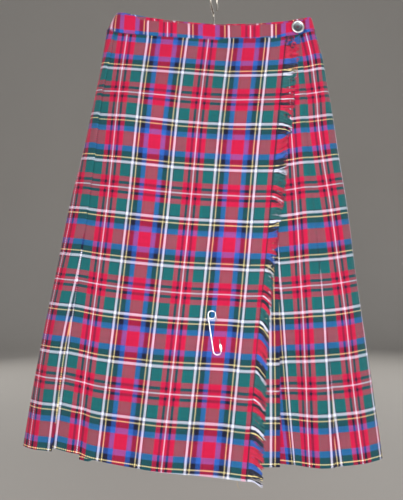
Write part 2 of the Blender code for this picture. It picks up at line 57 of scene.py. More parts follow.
class SmoothTable:
    """A smooth curve through a table of places and values, which never overshoots it."""

    def __init__(self, places, values):
        self.places = np.array(places, dtype=float)
        self.values = np.array(values, dtype=float)
        secants = np.diff(self.values) / np.diff(self.places)
        before, after = secants[:-1], secants[1:]
        same_way = before * after > 0
        total = np.where(same_way, before + after, 1)
        middle = np.where(same_way, 2 * before * after / total, 0)
        self.slopes = np.concatenate([[secants[0]], middle, [secants[-1]]])

    def __call__(self, place):
        place = np.clip(place, self.places[0], self.places[-1])
        cell = np.searchsorted(self.places, place, side="right") - 1
        cell = np.clip(cell, 0, len(self.places) - 2)
        span = self.places[cell + 1] - self.places[cell]
        t = (place - self.places[cell]) / span
        rise = self.values[cell + 1] - self.values[cell]
        ease = t * t * (3 - 2 * t)
        lead_in = t * (1 - t) ** 2 * self.slopes[cell] * span
        lead_out = t * t * (t - 1) * self.slopes[cell + 1] * span
        return self.values[cell] + rise * ease + lead_in + lead_out


def smooth_table(*rows):
    """A smooth curve through pairs of a place and a value."""
    return SmoothTable(*zip(*rows))


# Cloth and layers
CLOTH = 0.9
SOLID_CLOTH = 1.0
SEAM_GAP = 0.3
SEAM_DROP = 0.5
LAYER_STEP_WAIST = 1.4
LAYER_STEP_HEM = 1.6
LAYER_STEP_REACHED = 0.18
APRON_SPACE = 3.6
CLIMB_MARGIN = 4.0
TOP_TURN_IN = 4.0

# Waistband
BAND_CLOTH = 3.4
BAND_LEVEL = 1.9
BAND_LAP = 3.8
BAND_FLAT_END = 18.0
BAND_INNER_END_X = -150.0
BAND_OUTER_END_X = 150.0
BAND_TOP_LEFT_X = -161.5
BAND_TOP_RIGHT_X = 161.5
# How the band's top edge and the waist seam sag, as z against the place from the left
# tip (-1) to the right one (1)
BAND_TOP_Z = smooth_table(
    (-1, -46.5), (-0.81, -54.5), (-0.62, -60.5), (-0.37, -65.8), (-0.12, -69.8),
    (0.12, -71.6), (0.37, -71.0), (0.62, -68.8), (0.78, -65.8), (0.90, -61.0), (1, -53.0))
SEAM_Z = smooth_table(
    (-1, -79.5), (-0.86, -85.0), (-0.61, -89.8), (-0.41, -92.4), (-0.20, -95.4),
    (0.03, -99.0), (0.17, -100.2), (0.36, -99.9), (0.58, -98.2), (0.70, -94.0),
    (0.87, -87.4), (1, -79.4))

# Waistband looks: how far below its top edge the inner facing shows on the front, against
# x, how deep that step is, the tartan's repeat along it and where its thin white line is
FACING_SHOWS = smooth_table(
    (-170, 1.8), (-140, 2.0), (-126, 6.0), (-90, 4.5), (-60, 3.0), (0, 2.2), (60, 3.2),
    (110, 3.6), (170, 2.5))
FACING_STEP = 0.7
FACING_SHIFT = -24.0
BAND_REPEAT = 137.5
BAND_LINE_X = -77.1
BAND_REPEATS_ROUND = 3.5
BAND_RED_ABOVE_SEAM = 17.2
BAND_WAVE = 0.22
BAND_REACH = 2.5
# Points of band_outline, counted from 0, that run down the band's outer face
BAND_OUTER_FACE = [5, 8, 11, 13]

# Sections of the skirt from the waist seam to the hem. The columns are the drop from
# seam to hem (0 to 1), the base curve's left and right tips, its y at the tips, at the
# front and at the back, and how square its ends are.
SECTIONS = (
    # drop   left    right  side  front  back  square
    (0.000, -178.5, 168.5, 0.0, -12.0, 12.0, 12.0),
    (0.070, -185.5, 180.5, -0.5, -23.0, 16.0, 8.0),
    (0.120, -190.5, 185.5, -1.0, -31.0, 19.0, 6.0),
    (0.180, -199.0, 192.5, -1.3, -38.0, 22.0, 4.5),
    (0.315, -218.0, 206.0, -2.0, -41.0, 25.0, 3.2),
    (0.420, -235.0, 216.5, -2.7, -43.0, 27.0, 2.8),
    (0.560, -253.5, 227.5, -3.5, -45.0, 29.0, 2.5),
    (0.715, -274.0, 241.5, -4.4, -47.0, 31.0, 2.4),
    (0.885, -294.0, 257.5, -5.4, -51.0, 33.0, 2.3),
    (1.000, -306.0, 267.0, -6.0, -54.0, 34.0, 2.3),
)

# Lines that run down the front, as x at the same drops: the left pleat's fold, the free
# edge of the under apron, the two folds on the right, and the fringe's stitch line.
FRONT_LINES = (
    # left    under   under   right   stitch
    # fold    edge    fold    fold    line
    (-166.0, -150.0, 92.0, 142.5, 121.0),
    (-172.0, -156.0, 94.0, 145.0, 113.0),
    (-178.0, -160.0, 95.0, 146.0, 109.0),
    (-184.0, -166.0, 96.0, 146.0, 104.0),
    (-194.0, -174.0, 97.5, 151.5, 94.0),
    (-201.5, -180.0, 98.5, 158.5, 86.5),
    (-214.0, -188.0, 99.0, 167.0, 76.5),
    (-229.0, -196.0, 99.5, 176.5, 65.0),
    (-244.0, -205.0, 99.2, 183.5, 55.0),
    (-254.5, -212.0, 98.0, 184.0, 48.0),
)
LEFT_FOLD, UNDER_EDGE, UNDER_FOLD, RIGHT_FOLD, STITCH = range(5)

# Pleats
PLEATS = 10
TUCK_WAIST = 38.0
TUCK_HEM = 23.0
LAST_TUCK_WAIST = 7.0
PLEAT_LEAD = 1.5
FOLD_BULGE = 0.45
SIDE_FOLD_PAST_TIP = 13.0
PLEAT_SHIFTS = (2.5, -2.0, 3.0, -1.5, 2.0, -2.5, 0.0)

# Hems, as z against x on the front, and against the place along the wall elsewhere
APRON_HEM = smooth_table(
    (-256, -757), (-212, -765.5), (-181, -773), (-117, -783), (-46, -791), (12, -796),
    (48, -801))
UNDER_HEM = smooth_table(
    (-212, -774.5), (-193, -775.5), (-186, -770.5), (-100, -775), (0, -780), (100, -781))
BODY_HEM = {"under_fold": -780.0, "right_fold": -785.0, "right_tip": -780.5,
            "back": -786.0, "left_tip": -760.5, "left_fold": -762.0}

# The tartan: half a repeat in threads, from the thin white line to the middle of the
# wide red block. It is the same across and down, in a weave of two over and two under.
SETT = (("white", 1), ("red", 5), ("black", 5), ("red", 9), ("green", 21), ("black", 2),
        ("white", 5), ("black", 5), ("yellow", 2), ("black", 10), ("blue", 10), ("red", 13))
THREADS = 176
REPEAT_ACROSS = 134.6
REPEAT_DOWN = 160.0
WOOL = {"white": (0.69, 0.71, 0.85), "red": (0.50, 0.005, 0.048),
        "green": (0.006, 0.105, 0.112), "black": (0.006, 0.007, 0.026),
        "blue": (0.020, 0.095, 0.40), "yellow": (0.86, 0.70, 0.30)}

# Drops at which the middle of a red block's row lies
RED_ROWS = (0.039, 0.256, 0.485, 0.716, 0.950)
# How the cloth hangs off true, in mm, against the drop. The outer apron has a curve at
# its left side, its middle and its free edge, at these places in repeats from its thin
# white line: how far the weft sags down, and how far the warp bows to the right.
APRON_PLACES = (-0.9, -0.1, 0.6)
APRON_SAG = (
    smooth_table((0, -3), (0.1, 0), (0.2, 2), (0.6, 3), (1, 0.5)),
    smooth_table(
        (0, -3), (0.1, 1), (0.2, 7), (0.4, 5.5), (0.6, 3), (0.75, -0.5), (0.88, -2),
        (1, -2.5)),
    smooth_table((0, -3), (0.1, 1), (0.2, 6), (0.55, 1), (0.75, -4.5), (1, -5.5)),
)
APRON_BOW = (
    smooth_table((0, -1), (0.2, 0), (0.42, 2), (0.85, 0.5), (1, 1)),
    smooth_table((0, -0.5), (0.2, -1.5), (0.45, 1), (1, 0)),
    smooth_table((0, 0.5), (0.22, -3), (0.6, 0), (1, 1)),
)
UNDER_SAG = smooth_table((0, -1.5), (0.5, 0), (0.68, -1.2), (0.8, 0), (1, -1.5))
RIGHT_SAG = smooth_table(
    (0, -3), (0.1, 1), (0.2, 1.5), (0.3, 0), (0.55, -2.5), (0.75, -4.5), (0.9, -4.5),
    (1, -2))
LEFT_SAG = smooth_table(
    (0, -3), (0.1, 1), (0.2, 3), (0.4, 4.5), (0.6, 4.5), (0.8, 2), (1, 0.5))
# The right side's weft also tilts about the pleat's thin white line: how much further it
# sags at TILT_REACH to the left of that line.
RIGHT_TILT = smooth_table(
    (0, 0), (0.12, 1), (0.2, 2.5), (0.42, 5.5), (0.65, 4.5), (0.82, 3), (0.92, 0), (1, 0))
TILT_REACH = 40.0
TILT_LIMITS = (-0.3, 1.2)
# The thin white line that runs down the apron: x, z, and how much it leans
APRON_LINE = (-10.0, -110.0)
APRON_LEAN = 0.1060
# How far past the thin white line each pleat's fold lies, in mm against the drop: the
# under apron's, the two at the right, those across the back and the one at the left
FOLD_EDGES = (
    [smooth_table((0, 48), (1, 48)),
     smooth_table((0, 24), (0.25, 25), (0.6, 34), (0.88, 41), (1, 39)),
     smooth_table((0, 33), (0.06, 40), (0.12, 46), (0.24, 54), (0.6, 50.5), (0.88, 58),
                  (1, 59))]
    + [smooth_table((0, 25), (0.45, 30), (1, 37))] * (PLEATS - 4)
    + [smooth_table((0, 16), (0.12, 25), (0.45, 30), (0.8, 43), (1, 39))]
)
# The cloth to the left of the right pleat's thin white line sinks into the valley beside
# the under apron's fold: how much its pattern crowds up, and how deep it sinks in mm.
VALLEY_CROWDING = smooth_table((0, 0), (0.35, 0), (0.6, 0.15), (0.83, 0.37), (1, 0.8))
VALLEY_DEPTH = smooth_table((0, 0), (0.12, 0), (0.5, 3.0), (0.83, 7.0), (1, 11.0))
VALLEY_START = 6.0
VALLEY_LEAD = 14.0

# Creases: place along the skirt at their top and at the hem (0 to 1 across the front,
# 1 to 2 across the back), drops where they start, are deepest and end, their width as a
# share of the front, and their depth in mm.
CREASES = (
    (0.170, 0.176, 0.78, 0.97, 1.3, 0.014, -3.4),
    (0.200, 0.212, 0.70, 0.98, 1.4, 0.020, 1.6),
    (0.290, 0.300, 0.35, 0.85, 1.5, 0.040, -1.5),
    (0.400, 0.385, 0.45, 1.00, 1.6, 0.050, 2.0),
    (0.500, 0.490, 0.55, 1.00, 1.6, 0.035, -1.8),
    (0.580, 0.560, 0.10, 0.45, 1.1, 0.045, 1.2),
    (0.655, 0.640, 0.30, 0.80, 1.5, 0.030, -1.4),
    (0.745, 0.752, 0.40, 0.90, 1.5, 0.018, -2.4),
    (0.800, 0.812, 0.35, 0.95, 1.5, 0.020, 2.2),
    (0.860, 0.868, 0.30, 0.80, 1.4, 0.018, -1.8),
    (0.925, 0.930, 0.25, 0.90, 1.5, 0.020, 1.6),
    (0.060, 0.055, 0.30, 0.90, 1.5, 0.022, 2.0),
    (1.090, 1.095, 0.30, 0.95, 1.5, 0.022, -2.4),
    (1.190, 1.200, 0.25, 0.80, 1.5, 0.030, 3.0),
    (1.290, 1.285, 0.45, 1.00, 1.6, 0.024, -2.6),
    (1.385, 1.400, 0.20, 0.70, 1.3, 0.034, 2.2),
    (1.500, 1.490, 0.50, 1.00, 1.6, 0.028, -3.2),
    (1.610, 1.615, 0.30, 0.90, 1.5, 0.030, 2.8),
    (1.720, 1.705, 0.35, 0.85, 1.5, 0.022, -2.2),
    (1.810, 1.822, 0.25, 1.00, 1.6, 0.030, 2.6),
    (1.905, 1.900, 0.40, 0.95, 1.5, 0.020, -2.0),
)
# A faint ripple all over the cloth, in mm
RIPPLE = 0.35

# Fringe along the outer apron's free edge, in yarns that taper to YARN_END and hang in
# clumps, which draw together towards their tips
FRINGE_TOP_DROP = 0.006
YARN_RADIUS = 0.52
YARN_STEPS = 8
YARN_END = 0.78
YARNS_PER_THREAD = 2
YARN_CRIMP = 0.28
YARN_CRIMP_LENGTH = 1.9
CLUMP_THREADS = 5
CLUMP_GATHER = 0.216
# Against the drop: how far the yarns reach out, in mm, and how they droop, in degrees
FRINGE_REACH = smooth_table(
    (0, 20), (0.05, 22), (0.2, 21), (0.27, 19), (0.37, 20.5), (0.42, 17.5), (0.48, 15),
    (0.6, 16), (0.72, 20), (1, 23))
FRINGE_DROOP = smooth_table(
    (0, -4), (0.05, 2), (0.08, -5), (0.14, -6), (0.2, 20), (0.26, -22), (0.3, -12),
    (0.36, 18), (0.42, 0), (0.47, -10), (0.51, 20), (0.58, 28), (0.65, 44), (0.75, 46),
    (0.82, 34), (0.96, 24), (1, 12))

# Stitches along that edge: how much of its step each one fills, and how far in they lie
STITCHES = 220
STITCH_RADIUS = 0.45
STITCH_SHARE = 0.70
STITCH_BACK = 0.9

# Loose yarns: where the fringe's top is frayed beside the apron's edge, the thread below
# the hem, the crossed yarns half-way down the fringe, and the worn end beside the button
FRAY_X = (117.0, 134.0)
FRAY_Z = (-112.0, -97.0)
FRAY_APRON_X = 118.0
FRAY_RADIUS = 0.5
FRAY_SIZE = (1.8, 4.2)
FRAY_SWEEP = (2.2, 4.6)
FRAY_LIFT = (0.5, 1.6)
FRAY_DARK, FRAY_RED = 13, 7
HEM_THREAD = (32.5, -798.0)
HEM_THREAD_RADIUS = 0.28
CROSSED_YARNS = (85.0, -475.0)
CROSSED_YARN_RADIUS = 0.5
WORN_END = (146.0, -84.0)
WORN_END_RADIUS = 0.32

# Waist button
BUTTON_RADIUS = 10.8
BUTTON_X = 138.0
BUTTON_BELOW_TOP = 14.5
BUTTON_HOLE_RADIUS = 0.9
BUTTON_HOLE_OFFSET = 1.9
BUTTON_THREAD_RADIUS = 0.18
BUTTON_THREAD_ASIDE = 0.2

# Kilt pin, laid on the outer apron
PIN_TOP = (-4.7, -549.5)
PIN_LEAN = 8.5
PIN_WIRE = 1.8
PIN_COIL_RADIUS = 6.0
PIN_COIL_PITCH = 2.2
PIN_LENGTH = 62.0
PIN_REST = 0.5
PIN_UNDER = 1.3
PIN_ENTRY = 11.0
PIN_EXIT = 40.0
PIN_DIVE = 3.4
PIN_EASE = 0.8
PIN_STRAIGHT = 45.0
PIN_POINT = 49.5
PIN_BEND_END = 54.0
PIN_HOOD = (5.0, 11.0, 3.4)
PIN_HOOD_DOWN = 51.0
PIN_HOOD_LEVEL = 2.3
# The power that squares the hood's section, and its swell at shares of its length
PIN_HOOD_ROUND = 0.7
PIN_HOOD_SWELL = ((0.0, 0.35), (0.06, 0.5), (0.2, 0.68), (0.5, 0.82), (0.8, 0.85),
                  (0.94, 0.7), (1.0, 0.45))

# Hanger
HOOK_WIRE = 3.0
HOOK_INNER_RADIUS = 22.0
HOOK_BEND_RADIUS = 7.0
HOOK_TURN = 16.0
HOOK_TIP_ANGLE = -18.0
BAR_TOP_Z = -72.5
BAR_SOCKET_DEPTH = 8.5

# Mesh fineness: rows from waist to hem, steps along the runs of the cloth's path (more
# where a run goes round a side), sides of round yarns, and how steps gather at bends
ROWS = 100
APRON_ROWS = 140
HIDDEN_STEPS = 7
HIDDEN_SIDE_STEPS = 22
FACE_STEPS = 14
FACE_SIDE_STEPS = 40
APRON_HIDDEN_STEPS = 8
APRON_FACE_STEPS = 110
UNDER_FACE_STEPS = 50
YARN_SIDES = 5
THREAD_SIDES = 6
STATION_MM = 6.0
STATION_TURN = 0.16
SPREAD_SAMPLES = 160

# Camera and light
CAMERA_PLACE = (-0.0206, -0.909, -0.494)
CAMERA_PITCH = 93.0
CAMERA_LENS = 39.6
FLOOR_Z = -0.92
FLOOR_FRONT_Y = -4.0
FLOOR_BEND_Y = 2.4
FLOOR_BEND_RADIUS = 1.2
FLOOR_TOP_Z = 6.0
FLOOR_HALF_WIDTH = 9.0
# Name, place, size and power of each soft lamp, all aimed at one point
LAMPS = (("key_lamp", (-0.15, -2.0, -0.5), 1.0, 42.0),
         ("fill_lamp", (1.5, -1.7, -0.6), 1.4, 25.0),
         ("back_lamp", (0.9, 1.8, 0.5), 1.4, 17.0),
         ("back_fill_lamp", (-1.3, 1.6, 0.1), 1.2, 9.0))
LAMP_AIM = (0, 0, -0.42)
SKY_COLOR = (0.93, 0.95, 1.0, 1)
SKY_STRENGTH = 0.34


DROPS, *section_columns = zip(*SECTIONS)
SECTION_CURVES = [SmoothTable(DROPS, column) for column in section_columns]
LINE_CURVES = [SmoothTable(DROPS, column) for column in zip(*FRONT_LINES)]


class BaseCurve:
    """A closed plan curve; arc length runs from the left tip across the front."""

    SAMPLES = 720

    def __init__(self, left, right, side, front, back, square):
        half = (right - left) / 2
        centre = (right + left) / 2
        sweep = np.sin(np.linspace(-math.pi / 2, math.pi / 2, self.SAMPLES))
        swell = np.sqrt(np.clip(1 - np.abs(sweep) ** square, 0, 1))
        front_half = np.stack([centre + half * sweep, side + (front - side) * swell], 1)
        back_half = np.stack([centre - half * sweep, side + (back - side) * swell], 1)
        self.points = np.concatenate([front_half, back_half[1:]])
        steps = np.linalg.norm(np.diff(self.points, axis=0), axis=1)
        self.arc = np.concatenate([[0], np.cumsum(steps)])
        self.front_length = self.arc[self.SAMPLES - 1]
        self.length = self.arc[-1]
        self.centre = centre
        self.half = half

    def at(self, s):
        s = np.asarray(s) % self.length
        x = np.interp(s, self.arc, self.points[:, 0])
        y = np.interp(s, self.arc, self.points[:, 1])
        return np.stack([x, y], -1)

    def outward(self, s, reach=1.6):
        along = self.at(s + reach) - self.at(s - reach)
        along /= np.linalg.norm(along, axis=-1, keepdims=True)
        return np.stack([along[..., 1], -along[..., 0]], -1)

    def place(self, s, level):
        return self.at(s) + self.outward(s) * np.asarray(level)[..., None]

    def front_arc(self, x):
        """Arc length of the point of the front that has this x."""
        front_x = self.points[:self.SAMPLES, 0]
        return np.interp(x, front_x, self.arc[:self.SAMPLES])

    def share(self, s):
        """0 to 1 across the front, then 1 to 2 across the back."""
        s = np.asarray(s) % self.length
        back = (s - self.front_length) / (self.length - self.front_length)
        return np.where(s < self.front_length, s / self.front_length, 1 + back)


def curve_at(drop):
    return BaseCurve(*[curve(drop) for curve in SECTION_CURVES])


def band_curve(share):
    """The base curve inside the waistband, from its top (0) to the seam (1)."""
    _, left, right, side, front, back, square = SECTIONS[0]
    top_left = BAND_TOP_LEFT_X + (left - BAND_TOP_LEFT_X) * share
    top_right = BAND_TOP_RIGHT_X + (right - BAND_TOP_RIGHT_X) * share
    return BaseCurve(top_left, top_right, side, front, back, square)


def sagged(heights, curve, x):
    """A height that sags between the two tips of the curve."""
    return heights((x - curve.centre) / curve.half)


def line_x(drop, line):
    return LINE_CURVES[line](drop)


def layer_step(drop):
    share = min(1, max(0, drop) / LAYER_STEP_REACHED)
    return LAYER_STEP_WAIST + (LAYER_STEP_HEM - LAYER_STEP_WAIST) * share


def tuck(drop, pleat):
    """How far a pleat's cloth goes back under its fold."""
    waist = LAST_TUCK_WAIST if pleat == PLEATS - 1 else TUCK_WAIST
    return waist + (TUCK_HEM - waist) * drop


def folds(drop, curve):
    """Arc lengths of the ten pleat folds, from the under apron round to the left side."""
    first = curve.front_arc(line_x(drop, UNDER_FOLD))
    second = curve.front_arc(line_x(drop, RIGHT_FOLD))
    last = curve.length + curve.front_arc(line_x(drop, LEFT_FOLD))
    side = curve.front_length + SIDE_FOLD_PAST_TIP
    places = [first, second, side]
    for index, shift in enumerate(PLEAT_SHIFTS):
        share = (index + 1) / len(PLEAT_SHIFTS)
        places.append(side + (last - side) * share + shift * drop)
    return places


def outer_level(drop, curve, s):
    """Level of the outer apron, which climbs from under the left fold to the right."""
    left = curve.front_arc(line_x(drop, LEFT_FOLD)) + CLIMB_MARGIN
    right = folds(drop, curve)[0] - tuck(drop, 0) - CLIMB_MARGIN
    share = np.clip((s - left) / (right - left), 0, 1)
    return share * (2 * layer_step(drop) + APRON_SPACE)


def eased(share):
    """0 to 1 with a soft start and a soft end."""
    return share * share * (3 - 2 * share)


def relief(drop, curve, s):
    """How far the soft creases push the cloth out at a place, in mm."""
    place = curve.share(s)
    total = np.zeros_like(place)
    for top, hem, start, peak, end, width, depth in CREASES:
        centre = top + (hem - top) * drop
        if drop < peak:
            strength = np.clip((drop - start) / (peak - start), 0, 1)
        else:
            strength = np.clip((end - drop) / (end - peak), 0, 1)
        total += depth * eased(strength) * np.exp(-((place - centre) / width) ** 2)
    ripple = RIPPLE * np.sin(place * 61 + 3 * drop) * np.sin(drop * 17 + place * 9)
    return total + ripple * min(1, drop * 4)


def apron_hem(drop, curve, s, x):
    return APRON_HEM(x)


def under_hem(drop, curve, s, x):
    return UNDER_HEM(x)


def body_hem(drop, curve, s, x):
    """The pleated body's hem, from the under apron's fold round to the left pleat's."""
    fold_places = folds(drop, curve)
    arcs = [fold_places[0], fold_places[1], curve.front_length,
            (curve.front_length + curve.length) / 2, curve.length, fold_places[-1]]
    keys = ("under_fold", "right_fold", "right_tip", "back", "left_tip", "left_fold")
    return SmoothTable(arcs, [BODY_HEM[key] for key in keys])(s)


def cloth_z(curve, drop, x, hem):
    top = sagged(SEAM_Z, curve, x) - SEAM_DROP
    return top + (hem - top) * drop


def repeats_down(drop):
    """The weft's place in the tartan, in repeats; whole numbers are thin white lines."""
    first, last = RED_ROWS[0], RED_ROWS[-1]
    red_middle = 0.5
    if drop < first:
        return red_middle + (drop - first) / (RED_ROWS[1] - first)
    if drop > last:
        return len(RED_ROWS) - red_middle + (drop - last) / (last - RED_ROWS[-2])
    return red_middle + float(np.interp(drop, RED_ROWS, range(len(RED_ROWS))))


def apron_hang(curves, drop, u):
    """A value of the apron's sag or bow at a drop and a place in repeats."""
    return SmoothTable(APRON_PLACES, [curve(drop) for curve in curves])(u)


def apron_sag(drop, curve, s, u):
    return apron_hang(APRON_SAG, drop, u)


def under_sag(drop, curve, s, u):
    return np.full_like(u, UNDER_SAG(drop))


def body_sag(drop, curve, s, u):
    """The weft's sag, from the right side's round the back to the left side's."""
    share = np.clip((s - curve.front_length) / (curve.length - curve.front_length), 0, 1)
    white_line = folds(drop, curve)[1] - FOLD_EDGES[1](drop)
    tilt = np.clip((white_line - s) / TILT_REACH, *TILT_LIMITS)
    right = RIGHT_SAG(drop) + RIGHT_TILT(drop) * tilt
    return (1 - share) * right + share * LEFT_SAG(drop)


def spread(curve, start, end, count):
    """Places from start to end, closer together where the curve bends."""
    places = np.linspace(start, end, SPREAD_SAMPLES)
    direction = curve.outward(places)
    angle = np.unwrap(np.arctan2(direction[:, 1], direction[:, 0]))
    weight = np.abs(np.diff(places)) / STATION_MM + np.abs(np.diff(angle)) / STATION_TURN
    weight = np.concatenate([[0], np.cumsum(weight)])
    return np.interp(np.linspace(0, weight[-1], count + 1), weight, places)


def fold_u(drop, fold_places, pleat, s, returning=False):
    """The warp's place in the tartan, in repeats, on a pleat's face or its return."""
    distance = fold_places[pleat] - s
    edge = FOLD_EDGES[pleat](drop)
    offset = edge + distance if returning else edge - distance
    if pleat == 1 and not returning:
        past = np.maximum(0, -offset)
        offset = offset - VALLEY_CROWDING(drop) * past * past / (past + VALLEY_START)
    return pleat + offset / REPEAT_ACROSS


def valley(drop, fold_places, s):
    """How far the right pleat's face sinks beside the under apron's fold, in mm."""
    low, high = fold_places[0], fold_places[1] - tuck(drop, 1)
    before = np.clip((s - low + VALLEY_LEAD) / VALLEY_LEAD, 0, 1)
    after = np.clip((high - s) / (high - low), 0, 1)
    return -VALLEY_DEPTH(drop) * eased(before) * eased(after)


def pleat_top(drop, curve, fold_places, pleat, count):
    """A pleat's outer layer from its tuck's start, round its fold and back inside."""
    step = layer_step(drop)
    fold = fold_places[pleat]
    start = fold - tuck(drop, pleat)
    out = spread(curve, start, fold, count)
    back = out[::-1]
    s = np.concatenate([out, [fold + FOLD_BULGE * step], back])
    level = np.concatenate([np.full(count + 1, 2 * step), [1.5 * step],
                            np.full(count + 1, step)])
    u = np.concatenate([fold_u(drop, fold_places, pleat, out),
                        [fold_u(drop, fold_places, pleat, fold)],
                        fold_u(drop, fold_places, pleat, back, True)])
    return s, level, u


def body_path(drop, curve):
    """The pleated body from the under apron's inner fold to the left pleat's tuck."""
    step = layer_step(drop)
    fold_places = folds(drop, curve)
    runs = []
    for pleat in range(1, PLEATS):
        previous = fold_places[pleat - 1]
        previous_start = previous - tuck(drop, pleat - 1)
        start = fold_places[pleat] - tuck(drop, pleat)
        hidden_steps = HIDDEN_SIDE_STEPS if pleat == 3 else HIDDEN_STEPS
        face_steps = FACE_SIDE_STEPS if pleat == PLEATS - 1 else FACE_STEPS
        top_steps = HIDDEN_SIDE_STEPS if pleat == 2 else HIDDEN_STEPS
        hidden = spread(curve, previous_start, previous, hidden_steps)[:-1]
        face = spread(curve, previous, start, face_steps)[:-1]
        rise = np.clip((face - previous - PLEAT_LEAD) / (start - previous - PLEAT_LEAD), 0, 1)
        if pleat > 1:
            turn = np.array([previous_start - FOLD_BULGE * step])
            runs.append((turn, np.array([0.5 * step]), fold_u(drop, fold_places, pleat, turn)))
        sink = valley if pleat == 1 else lambda drop, fold_places, s: 0 * s
        for s, level in ((hidden, 0), (face, rise * 2 * step)):
            runs.append((s, level + sink(drop, fold_places, s),
                         fold_u(drop, fold_places, pleat, s)))
        runs.append(pleat_top(drop, curve, fold_places, pleat, top_steps))
    return [np.concatenate(parts) for parts in zip(*runs)]


def apron_line_arc(drop, curve):
    """Arc length of the apron's thin white line at a drop."""
    x = APRON_LINE[0]
    for _ in range(3):
        z = cloth_z(curve, drop, x, APRON_HEM(x))
        x = APRON_LINE[0] - APRON_LEAN * (APRON_LINE[1] - z)
    return float(curve.front_arc(x))


def outer_path(drop, curve):
    """The outer apron from its place inside the left pleat to the stitch line."""
    left = curve.front_arc(line_x(drop, LEFT_FOLD))
    start = left - tuck(drop, PLEATS - 1)
    stitch = curve.front_arc(line_x(drop, STITCH))
    hidden = spread(curve, start, left, APRON_HIDDEN_STEPS)[:-1]
    face = spread(curve, left, stitch, APRON_FACE_STEPS)
    s = np.concatenate([hidden, face])
    u = (s - apron_line_arc(drop, curve)) / REPEAT_ACROSS
    u = u - apron_hang(APRON_BOW, drop, u) / REPEAT_ACROSS
    return s, outer_level(drop, curve, s), u


def under_path(drop, curve):
    """The under apron from its free edge to the first fold, and back inside it."""
    fold_places = folds(drop, curve)
    start = curve.front_arc(line_x(drop, UNDER_EDGE))
    tuck_start = fold_places[0] - tuck(drop, 0)
    face = spread(curve, start, tuck_start, UNDER_FACE_STEPS)[:-1]
    level = outer_level(drop, curve, face) - APRON_SPACE
    runs = [(face, level, fold_u(drop, fold_places, 0, face)),
            pleat_top(drop, curve, fold_places, 0, APRON_HIDDEN_STEPS)]
    return [np.concatenate(parts) for parts in zip(*runs)]


def cloth_grid(path_of, hem_of, sag_of, rows):
    """Points and tartan places of a cloth, from just inside the waistband to the hem.

    The three functions give its path, its hem's height and its weft's sag, in mm.
    """
    points, places = [], []
    for drop in np.linspace(0, 1, rows):
        curve = curve_at(drop)
        s, level, u = path_of(drop, curve)
        spot = curve.place(s, level + relief(drop, curve, s))
        z = cloth_z(curve, drop, spot[:, 0], hem_of(drop, curve, s, spot[:, 0]))
        down = sag_of(drop, curve, s, u) / REPEAT_DOWN - repeats_down(drop)
        points.append(np.column_stack([spot, z]))
        places.append(np.column_stack([u, down]))
    above = points[0].copy()
    above[:, 2] += TOP_TURN_IN
    lift = places[0].copy()
    lift[:, 1] += TOP_TURN_IN / REPEAT_DOWN
    return np.array([above] + points), np.array([lift] + places)


def grid_faces(rows, columns):
    index = np.arange(rows * columns).reshape(rows, columns)
    return np.stack([index[:-1, :-1], index[:-1, 1:], index[1:, 1:], index[1:, :-1]],
                    -1).reshape(-1, 4).tolist()


def ring_faces(count, sides, base=0):
    """Faces between rings of points, with a face over each end; base is the first point."""
    index = np.arange(count * sides).reshape(count, sides) + base
    around = np.roll(index, -1, axis=1)
    quads = np.stack([index[:-1], around[:-1], around[1:], index[1:]], -1)
    return quads.reshape(-1, 4).tolist() + [index[0][::-1].tolist(), index[-1].tolist()]


def link_object(name, data):
    made = bpy.data.objects.new(name, data)
    bpy.context.scene.collection.objects.link(made)
    return made


def make_object(name, data, finish):
    made = link_object(name, data)
    data.materials.append(finish)
    return made


def mesh_of(name, points, faces, **layers):
    """A smooth mesh of points in mm. Each layer is a UV map, with a pair for each point."""
    mesh = bpy.data.meshes.new(name)
    mesh.from_pydata((np.asarray(points).reshape(-1, 3) * MM).tolist(), [], faces)
    corners = np.empty(len(mesh.loops), dtype=np.int32)
    mesh.loops.foreach_get("vertex_index", corners)
    for layer_name, pairs in layers.items():
        layer = mesh.uv_layers.new(name=layer_name)
        layer.data.foreach_set("uv", pairs.reshape(-1, 2)[corners].ravel())
    mesh.polygons.foreach_set("use_smooth", [True] * len(mesh.polygons))
    return mesh


def turn_outward(mesh, sharp_degrees):
    """Turns a closed mesh's faces outward, with sharp edges where it bends hard."""
    builder = bmesh.new()
    builder.from_mesh(mesh)
    bmesh.ops.recalc_face_normals(builder, faces=builder.faces)
    builder.to_mesh(mesh)
    builder.free()
    mesh.set_sharp_from_angle(angle=math.radians(sharp_degrees))


def freeze(made, sharp_degrees):
    """Turns an object's modifiers into its mesh, with sharp edges where it bends hard."""
    graph = bpy.context.evaluated_depsgraph_get()
    mesh = bpy.data.meshes.new_from_object(made.evaluated_get(graph))
    made.modifiers.clear()
    made.data = mesh
    mesh.set_sharp_from_angle(angle=math.radians(sharp_degrees))
    return made


def add_cloth(name, node, points, places, finish):
    """A thin wall on a grid of points."""
    mesh = mesh_of(name, points, grid_faces(*points.shape[:2]), tartan=places)
    cloth = make_object(name, mesh, finish)
    wall = cloth.modifiers.new("wall", "SOLIDIFY")
    wall.thickness = CLOTH * MM
    wall.offset = 0
    wall.use_even_offset = True
    freeze(cloth, sharp_degrees=50)
    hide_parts(node)
    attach(cloth, BODY)
    return cloth


